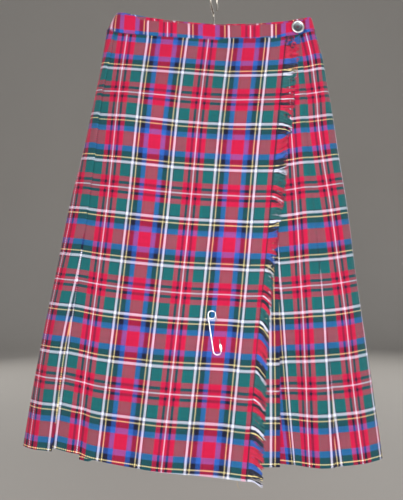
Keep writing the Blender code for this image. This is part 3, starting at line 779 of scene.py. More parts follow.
class Nodes:
    """Short calls that build a material's nodes."""

    def __init__(self, name, roughness, metallic=0.0):
        self.material = bpy.data.materials.new(name)
        self.material.use_nodes = True
        self.tree = self.material.node_tree
        self.shader = self.tree.nodes["Principled BSDF"]
        self.shader.inputs["Roughness"].default_value = roughness
        self.shader.inputs["Metallic"].default_value = metallic

    def add(self, kind, **values):
        node = self.tree.nodes.new(kind)
        for key, value in values.items():
            setattr(node, key, value)
        return node

    def link(self, value, socket):
        if isinstance(value, bpy.types.NodeSocket):
            self.tree.links.new(value, socket)
        else:
            socket.default_value = value

    def math(self, operation, *values):
        node = self.add("ShaderNodeMath", operation=operation)
        for value, socket in zip(values, node.inputs):
            self.link(value, socket)
        return node.outputs[0]

    def mix(self, share, first, second, blend="MIX"):
        node = self.add("ShaderNodeMix", data_type="RGBA", blend_type=blend)
        self.link(share, node.inputs["Factor"])
        self.link(first, node.inputs["A"])
        self.link(second, node.inputs["B"])
        return node.outputs["Result"]

    def between(self, share, low, high):
        """A value that goes from low to high as share goes from 0 to 1."""
        return self.math("MULTIPLY_ADD", share, high - low, low)

    def threads(self, axis):
        """The place in the tartan along X or Y, counted in threads."""
        split = self.add("ShaderNodeSeparateXYZ")
        self.link(self.add("ShaderNodeUVMap", uv_map="tartan").outputs["UV"],
                  split.inputs["Vector"])
        return self.math("MULTIPLY", split.outputs[axis], float(THREADS))

    def noise(self, scale, detail, stretch=None):
        """A noise texture in the object's own metres."""
        vector = self.add("ShaderNodeTexCoord").outputs["Object"]
        if stretch is not None:
            mapping = self.add("ShaderNodeMapping")
            mapping.inputs["Scale"].default_value = stretch
            self.link(vector, mapping.inputs["Vector"])
            vector = mapping.outputs["Vector"]
        node = self.add("ShaderNodeTexNoise")
        node.inputs["Scale"].default_value = scale
        node.inputs["Detail"].default_value = detail
        self.link(vector, node.inputs["Vector"])
        return node.outputs["Fac"]

    def bump(self, height, strength, distance):
        node = self.add("ShaderNodeBump")
        node.inputs["Strength"].default_value = strength
        node.inputs["Distance"].default_value = distance * MM
        self.link(height, node.inputs["Height"])
        self.link(node.outputs["Normal"], self.shader.inputs["Normal"])

    def color(self, value):
        self.link(value, self.shader.inputs["Base Color"])

    def set(self, name, value):
        self.shader.inputs[name].default_value = value


def sett_color(nodes, threads):
    """The sett's colour at a place counted in threads."""
    repeat = nodes.math("DIVIDE", threads, float(THREADS))
    half = nodes.math("PINGPONG", repeat, 0.5)
    place = nodes.math("MULTIPLY", half, 2.0)
    ramp = nodes.add("ShaderNodeValToRGB")
    ramp.color_ramp.interpolation = "CONSTANT"
    stops = ramp.color_ramp.elements
    start = 0.0
    for index, (name, count) in enumerate(SETT):
        if index < 2:
            stop = stops[index]
            stop.position = start
        else:
            stop = stops.new(start)
        stop.color = (*WOOL[name], 1)
        start += 2 * count / THREADS
    nodes.link(place, ramp.inputs["Fac"])
    return ramp.outputs["Color"]


def thread_tone(nodes, thread, seed, low, high):
    """A slightly different tone for each thread."""
    node = nodes.add("ShaderNodeTexWhiteNoise", noise_dimensions="1D")
    nodes.link(nodes.math("ADD", thread, seed), node.inputs["W"])
    return nodes.between(node.outputs["Value"], low, high)


def toned(nodes, color, tone):
    combine = nodes.add("ShaderNodeCombineColor")
    for channel in ("Red", "Green", "Blue"):
        nodes.link(tone, combine.inputs[channel])
    return nodes.mix(1.0, color, combine.outputs["Color"], "MULTIPLY")


def tartan_material():
    """Twill wool: warp and weft colours from the sett, two over and two under."""
    nodes = Nodes("tartan_wool_weave", 0.88)
    across, down = nodes.threads("X"), nodes.threads("Y")
    warp_thread = nodes.math("FLOOR", across)
    weft_thread = nodes.math("FLOOR", down)
    warp = sett_color(nodes, nodes.math("ADD", warp_thread, 0.5))
    weft = sett_color(nodes, nodes.math("ADD", weft_thread, 0.5))
    warp = toned(nodes, warp, thread_tone(nodes, warp_thread, 0.37, 0.93, 1.12))
    weft = toned(nodes, weft, thread_tone(nodes, weft_thread, 9.71, 0.83, 1.03))
    diagonal = nodes.math("ADD", warp_thread, weft_thread)
    over = nodes.math("LESS_THAN", nodes.math("FLOORED_MODULO", diagonal, 4.0), 1.5)
    color = nodes.mix(over, weft, warp)
    fuzz = nodes.noise(420.0, 3.0)
    wear = nodes.noise(14.0, 4.0)
    tone = nodes.math("MULTIPLY", nodes.between(fuzz, 0.80, 1.14),
                      nodes.between(wear, 0.92, 1.12))
    warp_round = nodes.math("PINGPONG", across, 0.5)
    weft_round = nodes.math("PINGPONG", down, 0.5)
    height = nodes.math("ADD", nodes.math("MULTIPLY", over, warp_round),
                        nodes.math("MULTIPLY", nodes.math("SUBTRACT", 1.0, over), weft_round))
    # Painted shade: the colour darkens where each thread dips down between its neighbours,
    # following the same thread height that drives the bump.
    tone = nodes.math("MULTIPLY", tone, nodes.math("MULTIPLY_ADD", height, 1.3, 0.72))
    nodes.color(toned(nodes, color, tone))
    nodes.bump(nodes.math("MULTIPLY_ADD", fuzz, 0.5, height), 0.6, 0.30)
    nodes.set("Sheen Weight", 0.18)
    nodes.set("Sheen Roughness", 0.45)
    nodes.set("Specular IOR Level", 0.25)
    return nodes.material


def yarn_material():
    """Loose weft yarn, in the colour of its own place down the sett."""
    nodes = Nodes("fringe_yarn_wool", 0.92)
    thread = nodes.math("FLOOR", nodes.threads("Y"))
    color = sett_color(nodes, nodes.math("ADD", thread, 0.5))
    color = toned(nodes, color, thread_tone(nodes, thread, 4.13, 0.85, 1.25))
    ply = nodes.add("ShaderNodeTexWave", wave_type="BANDS", bands_direction="DIAGONAL")
    ply.inputs["Scale"].default_value = 1.0
    place = nodes.add("ShaderNodeMapping")
    place.inputs["Scale"].default_value = (24.0, 4.0, 1.0)
    along = nodes.add("ShaderNodeUVMap", uv_map="ply")
    nodes.link(along.outputs["UV"], place.inputs["Vector"])
    nodes.link(place.outputs["Vector"], ply.inputs["Vector"])
    fuzz = nodes.noise(900.0, 3.0)
    # Painted shade: the yarn's colour darkens in the grooves between its plies, the same bands
    # that drive the bump. The fuzz is a random tone.
    tone = nodes.math("MULTIPLY_ADD", ply.outputs["Fac"], 0.25,
                      nodes.math("MULTIPLY_ADD", fuzz, 0.3, 0.74))
    nodes.color(toned(nodes, color, tone))
    nodes.bump(nodes.math("ADD", ply.outputs["Fac"], fuzz), 0.5, 0.2)
    nodes.set("Sheen Weight", 0.18)
    nodes.set("Sheen Roughness", 0.5)
    return nodes.material


def thread_material(name, color):
    """Plain sewing thread or yarn with a twist."""
    nodes = Nodes(name, 0.75)
    fuzz = nodes.noise(1500.0, 2.0)
    tone = nodes.between(fuzz, 0.75, 1.25)
    nodes.color(toned(nodes, (*color, 1), tone))
    nodes.bump(fuzz, 0.4, 0.1)
    nodes.set("Sheen Weight", 0.15)
    return nodes.material


def metal_material(name, color, roughness, wear):
    """Polished metal with faint rubbing and dulled patches."""
    nodes = Nodes(name, roughness, 1.0)
    patch = nodes.noise(180.0, 5.0)
    scratch = nodes.noise(900.0, 2.0, stretch=(1.0, 1.0, 0.12))
    tone = nodes.between(patch, 1 - wear, 1 + wear)
    nodes.color(toned(nodes, (*color, 1), tone))
    rough = nodes.between(patch, roughness - 0.08, roughness + 0.14)
    nodes.link(rough, nodes.shader.inputs["Roughness"])
    nodes.bump(nodes.math("ADD", patch, scratch), 0.12, 0.06)
    return nodes.material


def wood_material():
    """Clear-finished pale wood with grain along the bar."""
    nodes = Nodes("hanger_wood_grain", 0.42)
    grain = nodes.noise(60.0, 6.0, stretch=(0.35, 6.0, 6.0))
    rings = nodes.noise(16.0, 3.0, stretch=(0.2, 3.0, 3.0))
    pores = nodes.noise(900.0, 2.0, stretch=(0.06, 1.0, 1.0))
    share = nodes.math("MULTIPLY_ADD", rings, 0.6, nodes.math("MULTIPLY", grain, 0.5))
    color = nodes.mix(share, (0.50, 0.31, 0.15, 1), (0.24, 0.12, 0.05, 1))
    nodes.color(toned(nodes, color, nodes.between(pores, 0.8, 1.2)))
    nodes.bump(nodes.math("ADD", grain, pores), 0.25, 0.12)
    nodes.set("Coat Weight", 0.35)
    nodes.set("Coat Roughness", 0.25)
    return nodes.material


def plain_material(name, color, roughness):
    nodes = Nodes(name, roughness)
    tone = nodes.between(nodes.noise(3.0, 2.0), 0.98, 1.02)
    nodes.color(toned(nodes, (*color, 1), tone))
    return nodes.material


def add_skirt(tartan):
    """The outer apron, the pleated body and the under apron, each with its points."""
    cloths = (
        ("apron_cloth", "front_apron", outer_path, apron_hem, apron_sag, APRON_ROWS),
        ("pleated_cloth", "pleated_body", body_path, body_hem, body_sag, ROWS),
        ("under_apron_cloth", "under_apron", under_path, under_hem, under_sag, ROWS),
    )
    made = []
    for name, node, path_of, hem_of, sag_of, rows in cloths:
        points, places = cloth_grid(path_of, hem_of, sag_of, rows)
        made.append((add_cloth(name, node, points, places, tartan), points))
    return made


def band_stations(curve):
    """Places and levels along the waistband's path, in three runs."""
    inner_start = curve.front_arc(BAND_INNER_END_X)
    outer_end = curve.front_arc(BAND_OUTER_END_X)
    right_tip = curve.front_length
    left_tip = curve.length
    climb_end = outer_end - BAND_FLAT_END

    def climb(s):
        return BAND_LAP * np.clip((s - inner_start) / (climb_end - inner_start), 0, 1)

    inner = spread(curve, inner_start, outer_end, 70)[:-1]
    round_back = spread(curve, outer_end, left_tip + inner_start, 170)[:-1]
    outer = spread(curve, inner_start, outer_end, 90)
    s = np.concatenate([inner, round_back, left_tip + outer])
    level = np.concatenate([BAND_LEVEL - BAND_LAP + climb(inner),
                            np.full(len(round_back), BAND_LEVEL),
                            BAND_LEVEL + climb(outer)])
    anchor = left_tip + curve.front_arc(BAND_LINE_X)
    back_repeat = (anchor - right_tip) / BAND_REPEATS_ROUND
    u = np.where(s < anchor, (s - anchor) / back_repeat, (s - anchor) / BAND_REPEAT)
    return s, level, u


def band_outline(facing, height, wave):
    """The band's section: level, how far down, and whether it is on the facing."""
    half = BAND_CLOTH / 2
    step = half - FACING_STEP
    corner, ease = 0.9, 0.15
    facing_part = [(-half, 1.5), (-half * 0.8, 0.5), (-half * 0.3, 0.0), (half * 0.3, 0.1),
                   (half * 0.65, 0.5), (step, 1.3), (step, facing - 0.2)]
    cloth = [(half - ease, facing + 0.3), (half, facing + 1.2)]
    cloth += [(half + wave, facing + (height - facing) * share)
              for share in (0.30, 0.45, 0.60, 0.75, 0.88)]
    cloth += [(half - ease, height - corner), (half - corner, height),
              (-half + corner, height), (-half, height - corner)]
    cloth += [(-half, height * share) for share in (0.75, 0.5, 0.25)]
    return ([(level, down, True) for level, down in facing_part]
            + [(level, down, False) for level, down in cloth])


def band_rings():
    """Rings of points round the band's section, and their places in the tartan."""
    base = band_curve(0.5)
    s, level, u = band_stations(base)
    middle_x = base.at(s)[:, 0]
    facing_way = -base.outward(s, BAND_REACH)[:, 1]
    ends = []
    for share in (0, 1):
        curve = band_curve(share)
        here = s / base.length * curve.length
        ends.append((curve.at(here), curve.outward(here, BAND_REACH)))
    (top, top_way), (seam, seam_way) = ends
    top_z = sagged(BAND_TOP_Z, base, middle_x)
    height = top_z - sagged(SEAM_Z, base, middle_x)
    wave = BAND_WAVE * np.sin(u * 23) * np.sin(u * 7.1 + 1)
    points, places = [], []
    for out, down, on_facing in band_outline(FACING_SHOWS(middle_x), height, wave):
        share = np.clip(down / height, 0, 1)[:, None]
        way = top_way * (1 - share) + seam_way * share
        spot = top * (1 - share) + seam * share + way * (level + out)[:, None]
        points.append(np.column_stack([spot, top_z - down]))
        shift = FACING_SHIFT if on_facing else 0
        along = u + (facing_way * (spot[:, 0] - middle_x) - shift) / BAND_REPEAT
        up = (height - down - BAND_RED_ABOVE_SEAM) / REPEAT_DOWN - 0.5
        places.append(np.column_stack([along, up]))
    return np.stack(points, 1), np.stack(places, 1)


def add_band(tartan):
    """The waistband: a folded strip whose facing shows above the front's top edge."""
    points, places = band_rings()
    mesh = mesh_of("waistband_cloth", points, ring_faces(*points.shape[:2]), tartan=places)
    turn_outward(mesh, sharp_degrees=60)
    band = make_object("waistband_cloth", mesh, tartan)
    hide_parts("waistband")
    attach(band, BODY)
    return band, points


def tube(points, radius, sides, shrink):
    """Rings of points round a line, in mm."""
    points = np.asarray(points, dtype=float)
    along = np.gradient(points, axis=0)
    along /= np.linalg.norm(along, axis=1, keepdims=True)
    helper = np.array([0.31, 0.17, 0.94])
    side = np.cross(along, helper)
    side /= np.linalg.norm(side, axis=1, keepdims=True)
    other = np.cross(along, side)
    turn = np.linspace(0, 2 * math.pi, sides, endpoint=False)
    radii = np.full(len(points), radius) * shrink
    ring = (side[:, None] * np.cos(turn)[None, :, None]
            + other[:, None] * np.sin(turn)[None, :, None])
    return points[:, None] + ring * radii[:, None, None]


def add_tubes(name, lines, radius, sides, finish, places=None, shrink=1.0):
    """One mesh of closed round threads along lines that have equally many points."""
    points = np.array([tube(line, radius, sides, shrink) for line in lines])
    count, steps = points.shape[:2]
    faces = []
    for number in range(count):
        faces += ring_faces(steps, sides, number * steps * sides)
    layers = {}
    if places is not None:
        layers["tartan"] = np.repeat(places, steps * sides, axis=0)
    length = np.repeat(np.linspace(0, 1, steps), sides)
    side = np.tile(np.linspace(0, 1, sides, endpoint=False), steps)
    layers["ply"] = np.tile(np.column_stack([length, side]), (count, 1))
    mesh = mesh_of(name, points, faces, **layers)
    made = make_object(name, mesh, finish)
    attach(made, BODY)
    return made


class Edge:
    """The outer apron's free edge: where the fringe's yarns leave it."""

    def __init__(self):
        self.drops = np.linspace(0, 1, 241)
        self.reach = np.array([-1.5, 0.0, 8.0, 16.0, 26.0])
        rows = []
        for drop in self.drops:
            curve = curve_at(drop)
            x = line_x(drop, STITCH)
            s = curve.front_arc(x)
            level = outer_level(drop, curve, s) + relief(drop, curve, s + self.reach)
            z = cloth_z(curve, drop, x, APRON_HEM(x))
            spots = curve.place(s + SEAM_GAP + self.reach, level)
            rows.append([(*spot, z) for spot in spots])
        self.rows = np.array(rows)

    def at(self, drop, reach):
        """A point of the fringe's surface, reach mm from the edge."""
        grid = [[np.interp(drop, self.drops, self.rows[:, i, axis])
                 for i in range(len(self.reach))] for axis in range(3)]
        return np.array([np.interp(reach, self.reach, values) for values in grid])


def edge_threads(drop):
    """The weft thread that leaves the apron's free edge at a drop."""
    curve = curve_at(drop)
    stitch = curve.front_arc(line_x(drop, STITCH))
    u = (stitch - apron_line_arc(drop, curve)) / REPEAT_ACROSS
    sag = apron_hang(APRON_SAG, drop, u)
    return (repeats_down(drop) - sag / REPEAT_DOWN) * THREADS


def add_fringe(edge, yarn):
    """Yarns for each weft thread along the apron's free edge, in loose clumps."""
    random = np.random.default_rng(11)
    drops = np.linspace(0, 1, 201)
    threads_at = np.array([edge_threads(drop) for drop in drops])
    first = math.ceil(edge_threads(FRINGE_TOP_DROP))
    last = math.floor(threads_at[-1])
    lines, places = [], []
    for number in range((last - first) * YARNS_PER_THREAD):
        thread = first + number // YARNS_PER_THREAD
        layer = number % YARNS_PER_THREAD
        drop = float(np.interp(thread + (layer + 0.5) / YARNS_PER_THREAD, threads_at, drops))
        clump = thread // CLUMP_THREADS
        reach = FRINGE_REACH(drop) * (1 + 0.06 * math.sin(clump * 2.4)
                                      + random.uniform(-0.12, 0.06))
        droop = (math.radians(FRINGE_DROOP(drop)) + 0.096 * math.sin(clump * 2.7)
                 + 0.06 * math.sin(clump * 0.83) + random.normal(0, 0.05))
        gather = ((clump + 0.5) * CLUMP_THREADS - 0.5 - thread) * CLUMP_GATHER
        lift = random.uniform(-0.2, 1.0) + 0.6 * math.sin(clump * 1.9) - 0.9 * layer
        phase = random.uniform(0, FULL_TURN)
        line = []
        for share in np.linspace(0, 1, YARN_STEPS):
            angle = droop * (0.35 + 1.1 * share)
            out = reach * share * math.cos(droop * 0.9)
            down = reach * share * math.sin(angle)
            crimp = YARN_CRIMP * math.sin(share * reach / YARN_CRIMP_LENGTH + phase)
            spot = edge.at(drop, out)
            spot[1] -= lift * share + crimp * 0.8
            spot[2] -= down + gather * share * share - crimp
            line.append(spot)
        lines.append(line)
        places.append((0.25, -(thread + 0.5) / THREADS))
    shrink = np.linspace(1, YARN_END, YARN_STEPS)
    fringe = add_tubes("fringe_yarns", lines, YARN_RADIUS, YARN_SIDES, yarn,
                       places, shrink)
    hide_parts("apron_fringe")
    return fringe


def add_edge_stitches(edge, thread):
    """The line of dark machine stitches that holds the fringe's edge."""
    lines = []
    for number in range(STITCHES):
        start = FRINGE_TOP_DROP + (1 - FRINGE_TOP_DROP) * number / STITCHES
        length = (STITCH_SHARE + 0.08 * math.sin(number * 1.7)) / STITCHES
        line = []
        for share, lift in ((0, 0.1), (0.2, 0.5), (0.5, 0.62), (0.8, 0.5), (1, 0.1)):
            spot = edge.at(min(1, start + length * share), -STITCH_BACK)
            spot[1] -= CLOTH / 2 + lift
            line.append(spot)
        lines.append(line)
    return add_tubes("edge_stitches", lines, STITCH_RADIUS, THREAD_SIDES, thread)


def add_frayed_corner(dark, red):
    """Loops and loose ends of unpicked yarn at the top of the fringe, under the button."""
    random = np.random.default_rng(5)
    for name, finish, count in (("frayed_dark_yarns", dark, FRAY_DARK),
                                ("frayed_red_yarns", red, FRAY_RED)):
        lines = []
        for _ in range(count):
            x = random.uniform(*FRAY_X)
            z = random.uniform(*FRAY_Z)
            size = random.uniform(*FRAY_SIZE)
            start = random.uniform(0, FULL_TURN)
            sweep = random.uniform(*FRAY_SWEEP)
            lift = random.uniform(*FRAY_LIFT)
            line = []
            for share in np.linspace(0, 1, 10):
                angle = start + sweep * share
                out = 0.3 + lift * math.sin(math.pi * share)
                across = x + size * math.cos(angle) * 1.2
                base = apron_point(min(across, FRAY_APRON_X), z, 0)
                line.append((across, base.y - out - 0.9, z + size * math.sin(angle)))
            lines.append(line)
        add_tubes(name, lines, FRAY_RADIUS, THREAD_SIDES, finish)


def add_loose_threads(tan, cream, salmon):
    """A thread end below the hem, crossed yarns on the fringe, a worn buttonhole end."""
    x, z = HEM_THREAD
    start = apron_point(x, z, 0)
    drops = ((0, 0, 0.2), (0.8, 3.5, 0.5), (1.2, 7.5, 0.2), (2.6, 11.0, 0.6), (5.0, 13.6, 0.9))
    hanging = [(x + across, start.y - out, z - down) for across, down, out in drops]
    add_tubes("hem_loose_thread", [smooth_line(hanging, 4)], HEM_THREAD_RADIUS, THREAD_SIDES,
              tan)
    x, z = CROSSED_YARNS
    lines = []
    for turn, down, lift, length in ((0.75, 0, 2.2, 4.6), (-0.95, 0, 2.9, 4.2),
                                     (-0.6, 6.5, 2.0, 3.4)):
        lines.append([apron_point(x + length * share * math.cos(turn),
                                  z - down + length * share * math.sin(turn),
                                  lift - 0.5 * share * share)
                      for share in np.linspace(-1, 1, 7)])
    add_tubes("crossed_fringe_yarns", lines, CROSSED_YARN_RADIUS, THREAD_SIDES, cream)
    curve = band_curve(0.5)
    x, z = WORN_END
    spot = curve.place(curve.front_arc(x), BAND_LEVEL + BAND_LAP + BAND_CLOTH / 2)
    lines = []
    for number in range(5):
        aside = (number - 2) * 0.45
        lines.append([(x + along, spot[1] - lift, z + aside + 0.3 * math.sin(along * 2 + number))
                      for along, lift in ((-1.9, 0.0), (-1.2, 0.5), (0, 0.8), (1.2, 0.5),
                                          (1.9, 0.0))])
    add_tubes("worn_buttonhole_end", lines, WORN_END_RADIUS, THREAD_SIDES, salmon)


def apron_point(x, z, level):
    """A point over the outer apron, level millimetres outside its outer face."""
    curve = curve_at(0)
    top = sagged(SEAM_Z, curve, x) - SEAM_DROP
    drop = (z - top) / (APRON_HEM(x) - top)
    curve = curve_at(drop)
    s = float(curve.front_arc(x))
    outward = curve.outward(s)
    push = float(relief(drop, curve, s)) + SOLID_CLOTH / 2 + level
    spot = curve.at(s) + outward * (float(outer_level(drop, curve, s)) + push)
    return Vector((spot[0], spot[1], z))


def add_wire(name, points, thickness, finish):
    """A round wire along a list of points, with closed ends."""
    data = bpy.data.curves.new(name, "CURVE")
    data.dimensions = "3D"
    data.bevel_depth = thickness / 2 * MM
    data.bevel_resolution = 5
    data.use_fill_caps = True
    spline = data.splines.new("POLY")
    spline.points.add(len(points) - 1)
    for spot, point in zip(spline.points, points):
        spot.co = (*(Vector(point) * MM), 1)
    spline.use_smooth = True
    made = make_object(name, data, finish)
    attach(made, BODY)
    return made


def smooth_line(points, per_span):
    """More points on a smooth curve through these."""
    points = np.array([tuple(point) for point in points])
    padded = np.concatenate([2 * points[:1] - points[1:2], points,
                             2 * points[-1:] - points[-2:-1]])
    line = []
    for i in range(1, len(padded) - 2):
        before, here, there, after = padded[i - 1:i + 3]
        for t in np.linspace(0, 1, per_span, endpoint=False):
            line.append(0.5 * (2 * here + (there - before) * t
                               + (2 * before - 5 * here + 4 * there - after) * t * t
                               + (3 * here - before - 3 * there + after) * t ** 3))
    line.append(points[-1])
    return line


def pin_spot(across, down, level):
    """A point of the pin, in its own leaning frame, over the apron's outer face."""
    lean = math.radians(PIN_LEAN)
    x = PIN_TOP[0] + across * math.cos(lean) + down * math.sin(lean)
    z = PIN_TOP[1] + across * math.sin(lean) - down * math.cos(lean)
    return apron_point(x, z, level)


def pin_route():
    """From the point in the hood, up under the cloth, round the coil and down again."""
    over = PIN_REST + PIN_WIRE / 2
    under = -SOLID_CLOTH - PIN_UNDER
    arm = PIN_COIL_RADIUS
    far, near = PIN_DIVE, PIN_DIVE / 2
    route = [(arm, PIN_POINT, PIN_HOOD_LEVEL), (arm, PIN_STRAIGHT, PIN_HOOD_LEVEL),
             (arm, PIN_EXIT + far, over), (arm, PIN_EXIT + near, over - PIN_EASE),
             (arm, PIN_EXIT - near, under + PIN_EASE), (arm, PIN_EXIT - far, under),
             (arm, PIN_ENTRY + far, under), (arm, PIN_ENTRY + near, under + PIN_EASE),
             (arm, PIN_ENTRY - near, over - PIN_EASE), (arm, PIN_ENTRY - far, over)]
    coil_points = 40
    high = over + PIN_COIL_PITCH * 1.5
    for i in range(coil_points + 1):
        share = i / coil_points
        angle = share * 3 * math.pi
        route.append((arm * math.cos(angle), -arm * math.sin(angle),
                      over + (high - over) * share))
    bend_down = PIN_LENGTH - arm
    route += [(-arm, arm, high), (-arm, bend_down, PIN_HOOD_LEVEL)]
    bend_points = 14
    for i in range(1, bend_points + 1):
        angle = math.pi * (1 - i / bend_points)
        route.append((arm * math.cos(angle), bend_down + arm * math.sin(angle),
                      PIN_HOOD_LEVEL))
    return route + [(arm, PIN_BEND_END, PIN_HOOD_LEVEL)]


def add_pin(steel):
    """The kilt pin's wire and its folded hood."""
    wire = add_wire("pin_wire", [pin_spot(*spot) for spot in pin_route()], PIN_WIRE, steel)
    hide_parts("kilt_pin")
    width, length, height = PIN_HOOD
    arm = PIN_COIL_RADIUS
    rings = []
    sides = 20
    for share, swell in PIN_HOOD_SWELL:
        ring = []
        for i in range(sides):
            angle = 2 * math.pi * i / sides
            across = math.copysign(abs(math.cos(angle)) ** PIN_HOOD_ROUND, math.cos(angle))
            out = math.copysign(abs(math.sin(angle)) ** PIN_HOOD_ROUND, math.sin(angle))
            ring.append(pin_spot(arm + across * width / 2 * swell,
                                 PIN_HOOD_DOWN + (share - 0.5) * length,
                                 PIN_HOOD_LEVEL + out * height / 2 * swell))
        rings.append(ring)
    mesh = mesh_of("pin_hood", rings, ring_faces(len(rings), sides))
    turn_outward(mesh, sharp_degrees=55)
    hood = make_object("pin_hood", mesh, steel)
    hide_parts("kilt_pin_hood")
    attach(hood, BODY)


def button_frame():
    """The button's place and direction on the waistband's outer end."""
    curve = band_curve(0.5)
    s = float(curve.front_arc(BUTTON_X))
    level = BAND_LEVEL + BAND_LAP + BAND_CLOTH / 2 + SEAM_GAP
    spot = curve.place(s, level)
    z = sagged(BAND_TOP_Z, curve, spot[0]) - BUTTON_BELOW_TOP
    outward = curve.outward(s)
    facing = Vector((outward[0], outward[1], 0)).to_track_quat("Z", "Y")
    return Matrix.Translation(Vector((spot[0], spot[1], z)) * MM) @ facing.to_matrix().to_4x4()


def add_button(metal, dish_shade_metal, thread):
    """A dished button with a round rim, four sewing holes and its crossed thread. The dish and
    the holes' walls take a darker metal: painted shade and painted dark reflection in the
    hollow.
    """
    rim, dish = BUTTON_RADIUS, BUTTON_RADIUS * 0.68
    profile = [(0, 1.5), (dish * 0.35, 1.5), (dish * 0.7, 1.75), (dish * 0.92, 2.2),
               (dish, 2.7), (dish + 0.5, 3.15), (rim - 2.2, 3.42), (rim - 1.5, 3.5),
               (rim - 0.8, 3.35), (rim - 0.25, 2.9), (rim, 2.2), (rim - 0.1, 1.5),
               (rim - 0.5, 0.9), (rim - 1.6, 0.3), (rim - 3.0, 0), (0, 0)]
    steps = 72
    builder = bmesh.new()
    rings = []
    for radius, height in profile:
        if radius == 0:
            rings.append([builder.verts.new((0, 0, height * MM))])
            continue
        turn = [2 * math.pi * i / steps for i in range(steps)]
        rings.append([builder.verts.new((radius * MM * math.cos(a), radius * MM * math.sin(a),
                                         height * MM)) for a in turn])
    for number, (inner, outer) in enumerate(zip(rings, rings[1:])):
        for i in range(steps):
            j = (i + 1) % steps
            if len(inner) == 1:
                face = builder.faces.new((inner[0], outer[i], outer[j]))
            elif len(outer) == 1:
                face = builder.faces.new((inner[j], inner[i], outer[0]))
            else:
                face = builder.faces.new((inner[i], outer[i], outer[j], inner[j]))
            # The dish's inner rings take the darker metal: painted shade and painted dark
            # reflection in the hollow.
            face.material_index = 1 if number < 4 else 0
            face.smooth = True
    bmesh.ops.recalc_face_normals(builder, faces=builder.faces)
    mesh = bpy.data.meshes.new("button_dish")
    builder.to_mesh(mesh)
    builder.free()
    button = make_object("button_dish", mesh, metal)
    mesh.materials.append(dish_shade_metal)
    place = button_frame()
    cutters = []
    for quarter in range(4):
        angle = math.radians(45 + 90 * quarter)
        drill = bmesh.new()
        bmesh.ops.create_cone(drill, cap_ends=True, segments=16,
                              radius1=BUTTON_HOLE_RADIUS * MM,
                              radius2=BUTTON_HOLE_RADIUS * MM, depth=8 * MM)
        data = bpy.data.meshes.new("drill")
        drill.to_mesh(data)
        drill.free()
        # The holes' walls take the darker metal too, as painted shade.
        data.materials.append(dish_shade_metal)
        hole = link_object("drill", data)
        hole.location = Vector((math.cos(angle), math.sin(angle), 0)) * (
            BUTTON_HOLE_OFFSET * MM)
        boolean = button.modifiers.new("cut", "BOOLEAN")
        boolean.object = hole
        cutters.append(hole)
    freeze(button, sharp_degrees=40)
    for hole in cutters:
        bpy.data.objects.remove(hole)
    button.matrix_world = place
    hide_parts("waist_button")
    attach(button, BODY)
    lines = []
    reach = BUTTON_HOLE_OFFSET
    for diagonal in (45, 135):
        for side in (-BUTTON_THREAD_ASIDE, BUTTON_THREAD_ASIDE):
            angle = math.radians(diagonal)
            along = Vector((math.cos(angle), math.sin(angle), 0))
            aside = Vector((-math.sin(angle), math.cos(angle), 0)) * side
            line = []
            for t, height in ((-1, 0.4), (-1, 1.6), (-0.75, 2.0), (0, 2.25 + side * 0.3),
                              (0.75, 2.0), (1, 1.6), (1, 0.4)):
                spot = along * reach * t + aside
                spot.z = height
                line.append(place @ (spot * MM) / MM)
            lines.append(smooth_line(line, 3))
    crossed = add_tubes("button_thread", lines, BUTTON_THREAD_RADIUS, THREAD_SIDES,
                        thread)
    return button, crossed


def hook_route():
    """Up the stem, round the small bend and over the hook to its tip."""
    wire_radius = HOOK_INNER_RADIUS + HOOK_WIRE / 2
    centre_z = -HOOK_INNER_RADIUS
    bend = HOOK_BEND_RADIUS
    bend_z = centre_z - math.sqrt((wire_radius + bend) ** 2 - bend ** 2)
    meet = math.atan2(centre_z - bend_z, bend)
    route = [(0, BAR_TOP_Z - BAR_SOCKET_DEPTH + SEAM_GAP), (0, bend_z - 4)]
    bend_steps = 10
    for i in range(bend_steps + 1):
        angle = meet * i / bend_steps
        route.append((-bend + bend * math.cos(angle), bend_z + bend * math.sin(angle)))
    start = math.degrees(meet) + 180
    steps = 60
    for i in range(1, steps + 1):
        angle = math.radians(start + (HOOK_TIP_ANGLE - start) * i / steps)
        route.append((wire_radius * math.cos(angle), centre_z + wire_radius * math.sin(angle)))
    turn = math.radians(HOOK_TURN)
    return [(reach * math.sin(turn), reach * math.cos(turn), z) for reach, z in route]


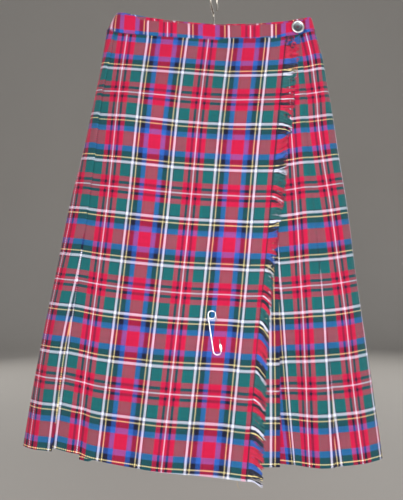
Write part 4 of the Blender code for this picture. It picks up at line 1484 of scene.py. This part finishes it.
def add_stage():
    """A floor that sweeps up behind, four soft lamps and the camera."""
    profile = [(FLOOR_FRONT_Y, FLOOR_Z)]
    radius = FLOOR_BEND_RADIUS
    steps = 12
    for i in range(steps + 1):
        angle = math.radians(-90 + 90 * i / steps)
        profile.append((FLOOR_BEND_Y + radius * math.cos(angle),
                        FLOOR_Z + radius + radius * math.sin(angle)))
    profile.append((FLOOR_BEND_Y + radius, FLOOR_TOP_Z))
    points = [(x, y, z) for y, z in profile for x in (-FLOOR_HALF_WIDTH, FLOOR_HALF_WIDTH)]
    mesh = bpy.data.meshes.new("floor")
    mesh.from_pydata(points, [], [(2 * i, 2 * i + 1, 2 * i + 3, 2 * i + 2)
                                  for i in range(len(profile) - 1)])
    mesh.polygons.foreach_set("use_smooth", [True] * len(mesh.polygons))
    mesh.materials.append(plain_material("warm_grey_floor", (0.46, 0.43, 0.39), 0.8))
    link_object("floor", mesh)
    for name, place, size, power in LAMPS:
        data = bpy.data.lights.new(name, "AREA")
        data.size = size
        data.energy = power
        lamp = link_object(name, data)
        lamp.location = place
        lamp.visible_camera = False
        aim = Vector(LAMP_AIM) - Vector(place)
        lamp.rotation_euler = aim.to_track_quat("-Z", "Y").to_euler()
    world = bpy.data.worlds.new("studio")
    world.use_nodes = True
    sky = world.node_tree.nodes["Background"]
    sky.inputs["Color"].default_value = SKY_COLOR
    sky.inputs["Strength"].default_value = SKY_STRENGTH
    bpy.context.scene.world = world
    data = bpy.data.cameras.new("camera")
    data.lens = CAMERA_LENS
    data.clip_start = 0.01
    camera = link_object("camera", data)
    camera.location = CAMERA_PLACE
    camera.rotation_euler = (math.radians(CAMERA_PITCH), 0, 0)
    bpy.context.scene.camera = camera
    bpy.context.scene.view_settings.view_transform = "Standard"


def main():
    add_stage()
    tartan = tartan_material()
    yarn = yarn_material()
    steel = metal_material("bright_pin_steel", (0.70, 0.72, 0.76), 0.15, 0.06)
    wire = metal_material("hook_wire_steel", (0.50, 0.46, 0.40), 0.25, 0.12)
    silver = metal_material("button_silver", (0.66, 0.66, 0.66), 0.32, 0.12)
    # The dish's darker metal is painted shade and painted dark reflection in the hollow.
    shaded_dish_metal = metal_material("button_dish_painted_shade", (0.16, 0.18, 0.19), 0.38, 0.15)
    pink = thread_material("button_thread_wool", (0.14, 0.03, 0.06))
    apron, pleats, inner = add_skirt(tartan)
    band, band_points = add_band(tartan)
    edge = Edge()
    fringe = add_fringe(edge, yarn)
    stitches = add_edge_stitches(edge, thread_material("dark_stitches", (0.008, 0.009, 0.025)))
    add_frayed_corner(thread_material("frayed_dark_wool", (0.010, 0.012, 0.045)),
                      thread_material("frayed_red_wool", (0.50, 0.02, 0.08)))
    add_loose_threads(thread_material("tan_thread", (0.42, 0.28, 0.14)),
                      thread_material("cream_wool", (0.75, 0.68, 0.50)),
                      thread_material("salmon_thread", (0.70, 0.24, 0.18)))
    button, crossed = add_button(silver, shaded_dish_metal, pink)
    add_pin(steel)
    hook = add_wire("hook_wire", hook_route(), HOOK_WIRE, wire)
    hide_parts("hanger_hook")
    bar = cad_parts["hanger_bar"]
    bar.data.materials.clear()
    bar.data.materials.append(wood_material())
    outer_face = band_points[:, BAND_OUTER_FACE].transpose(1, 0, 2)


main()
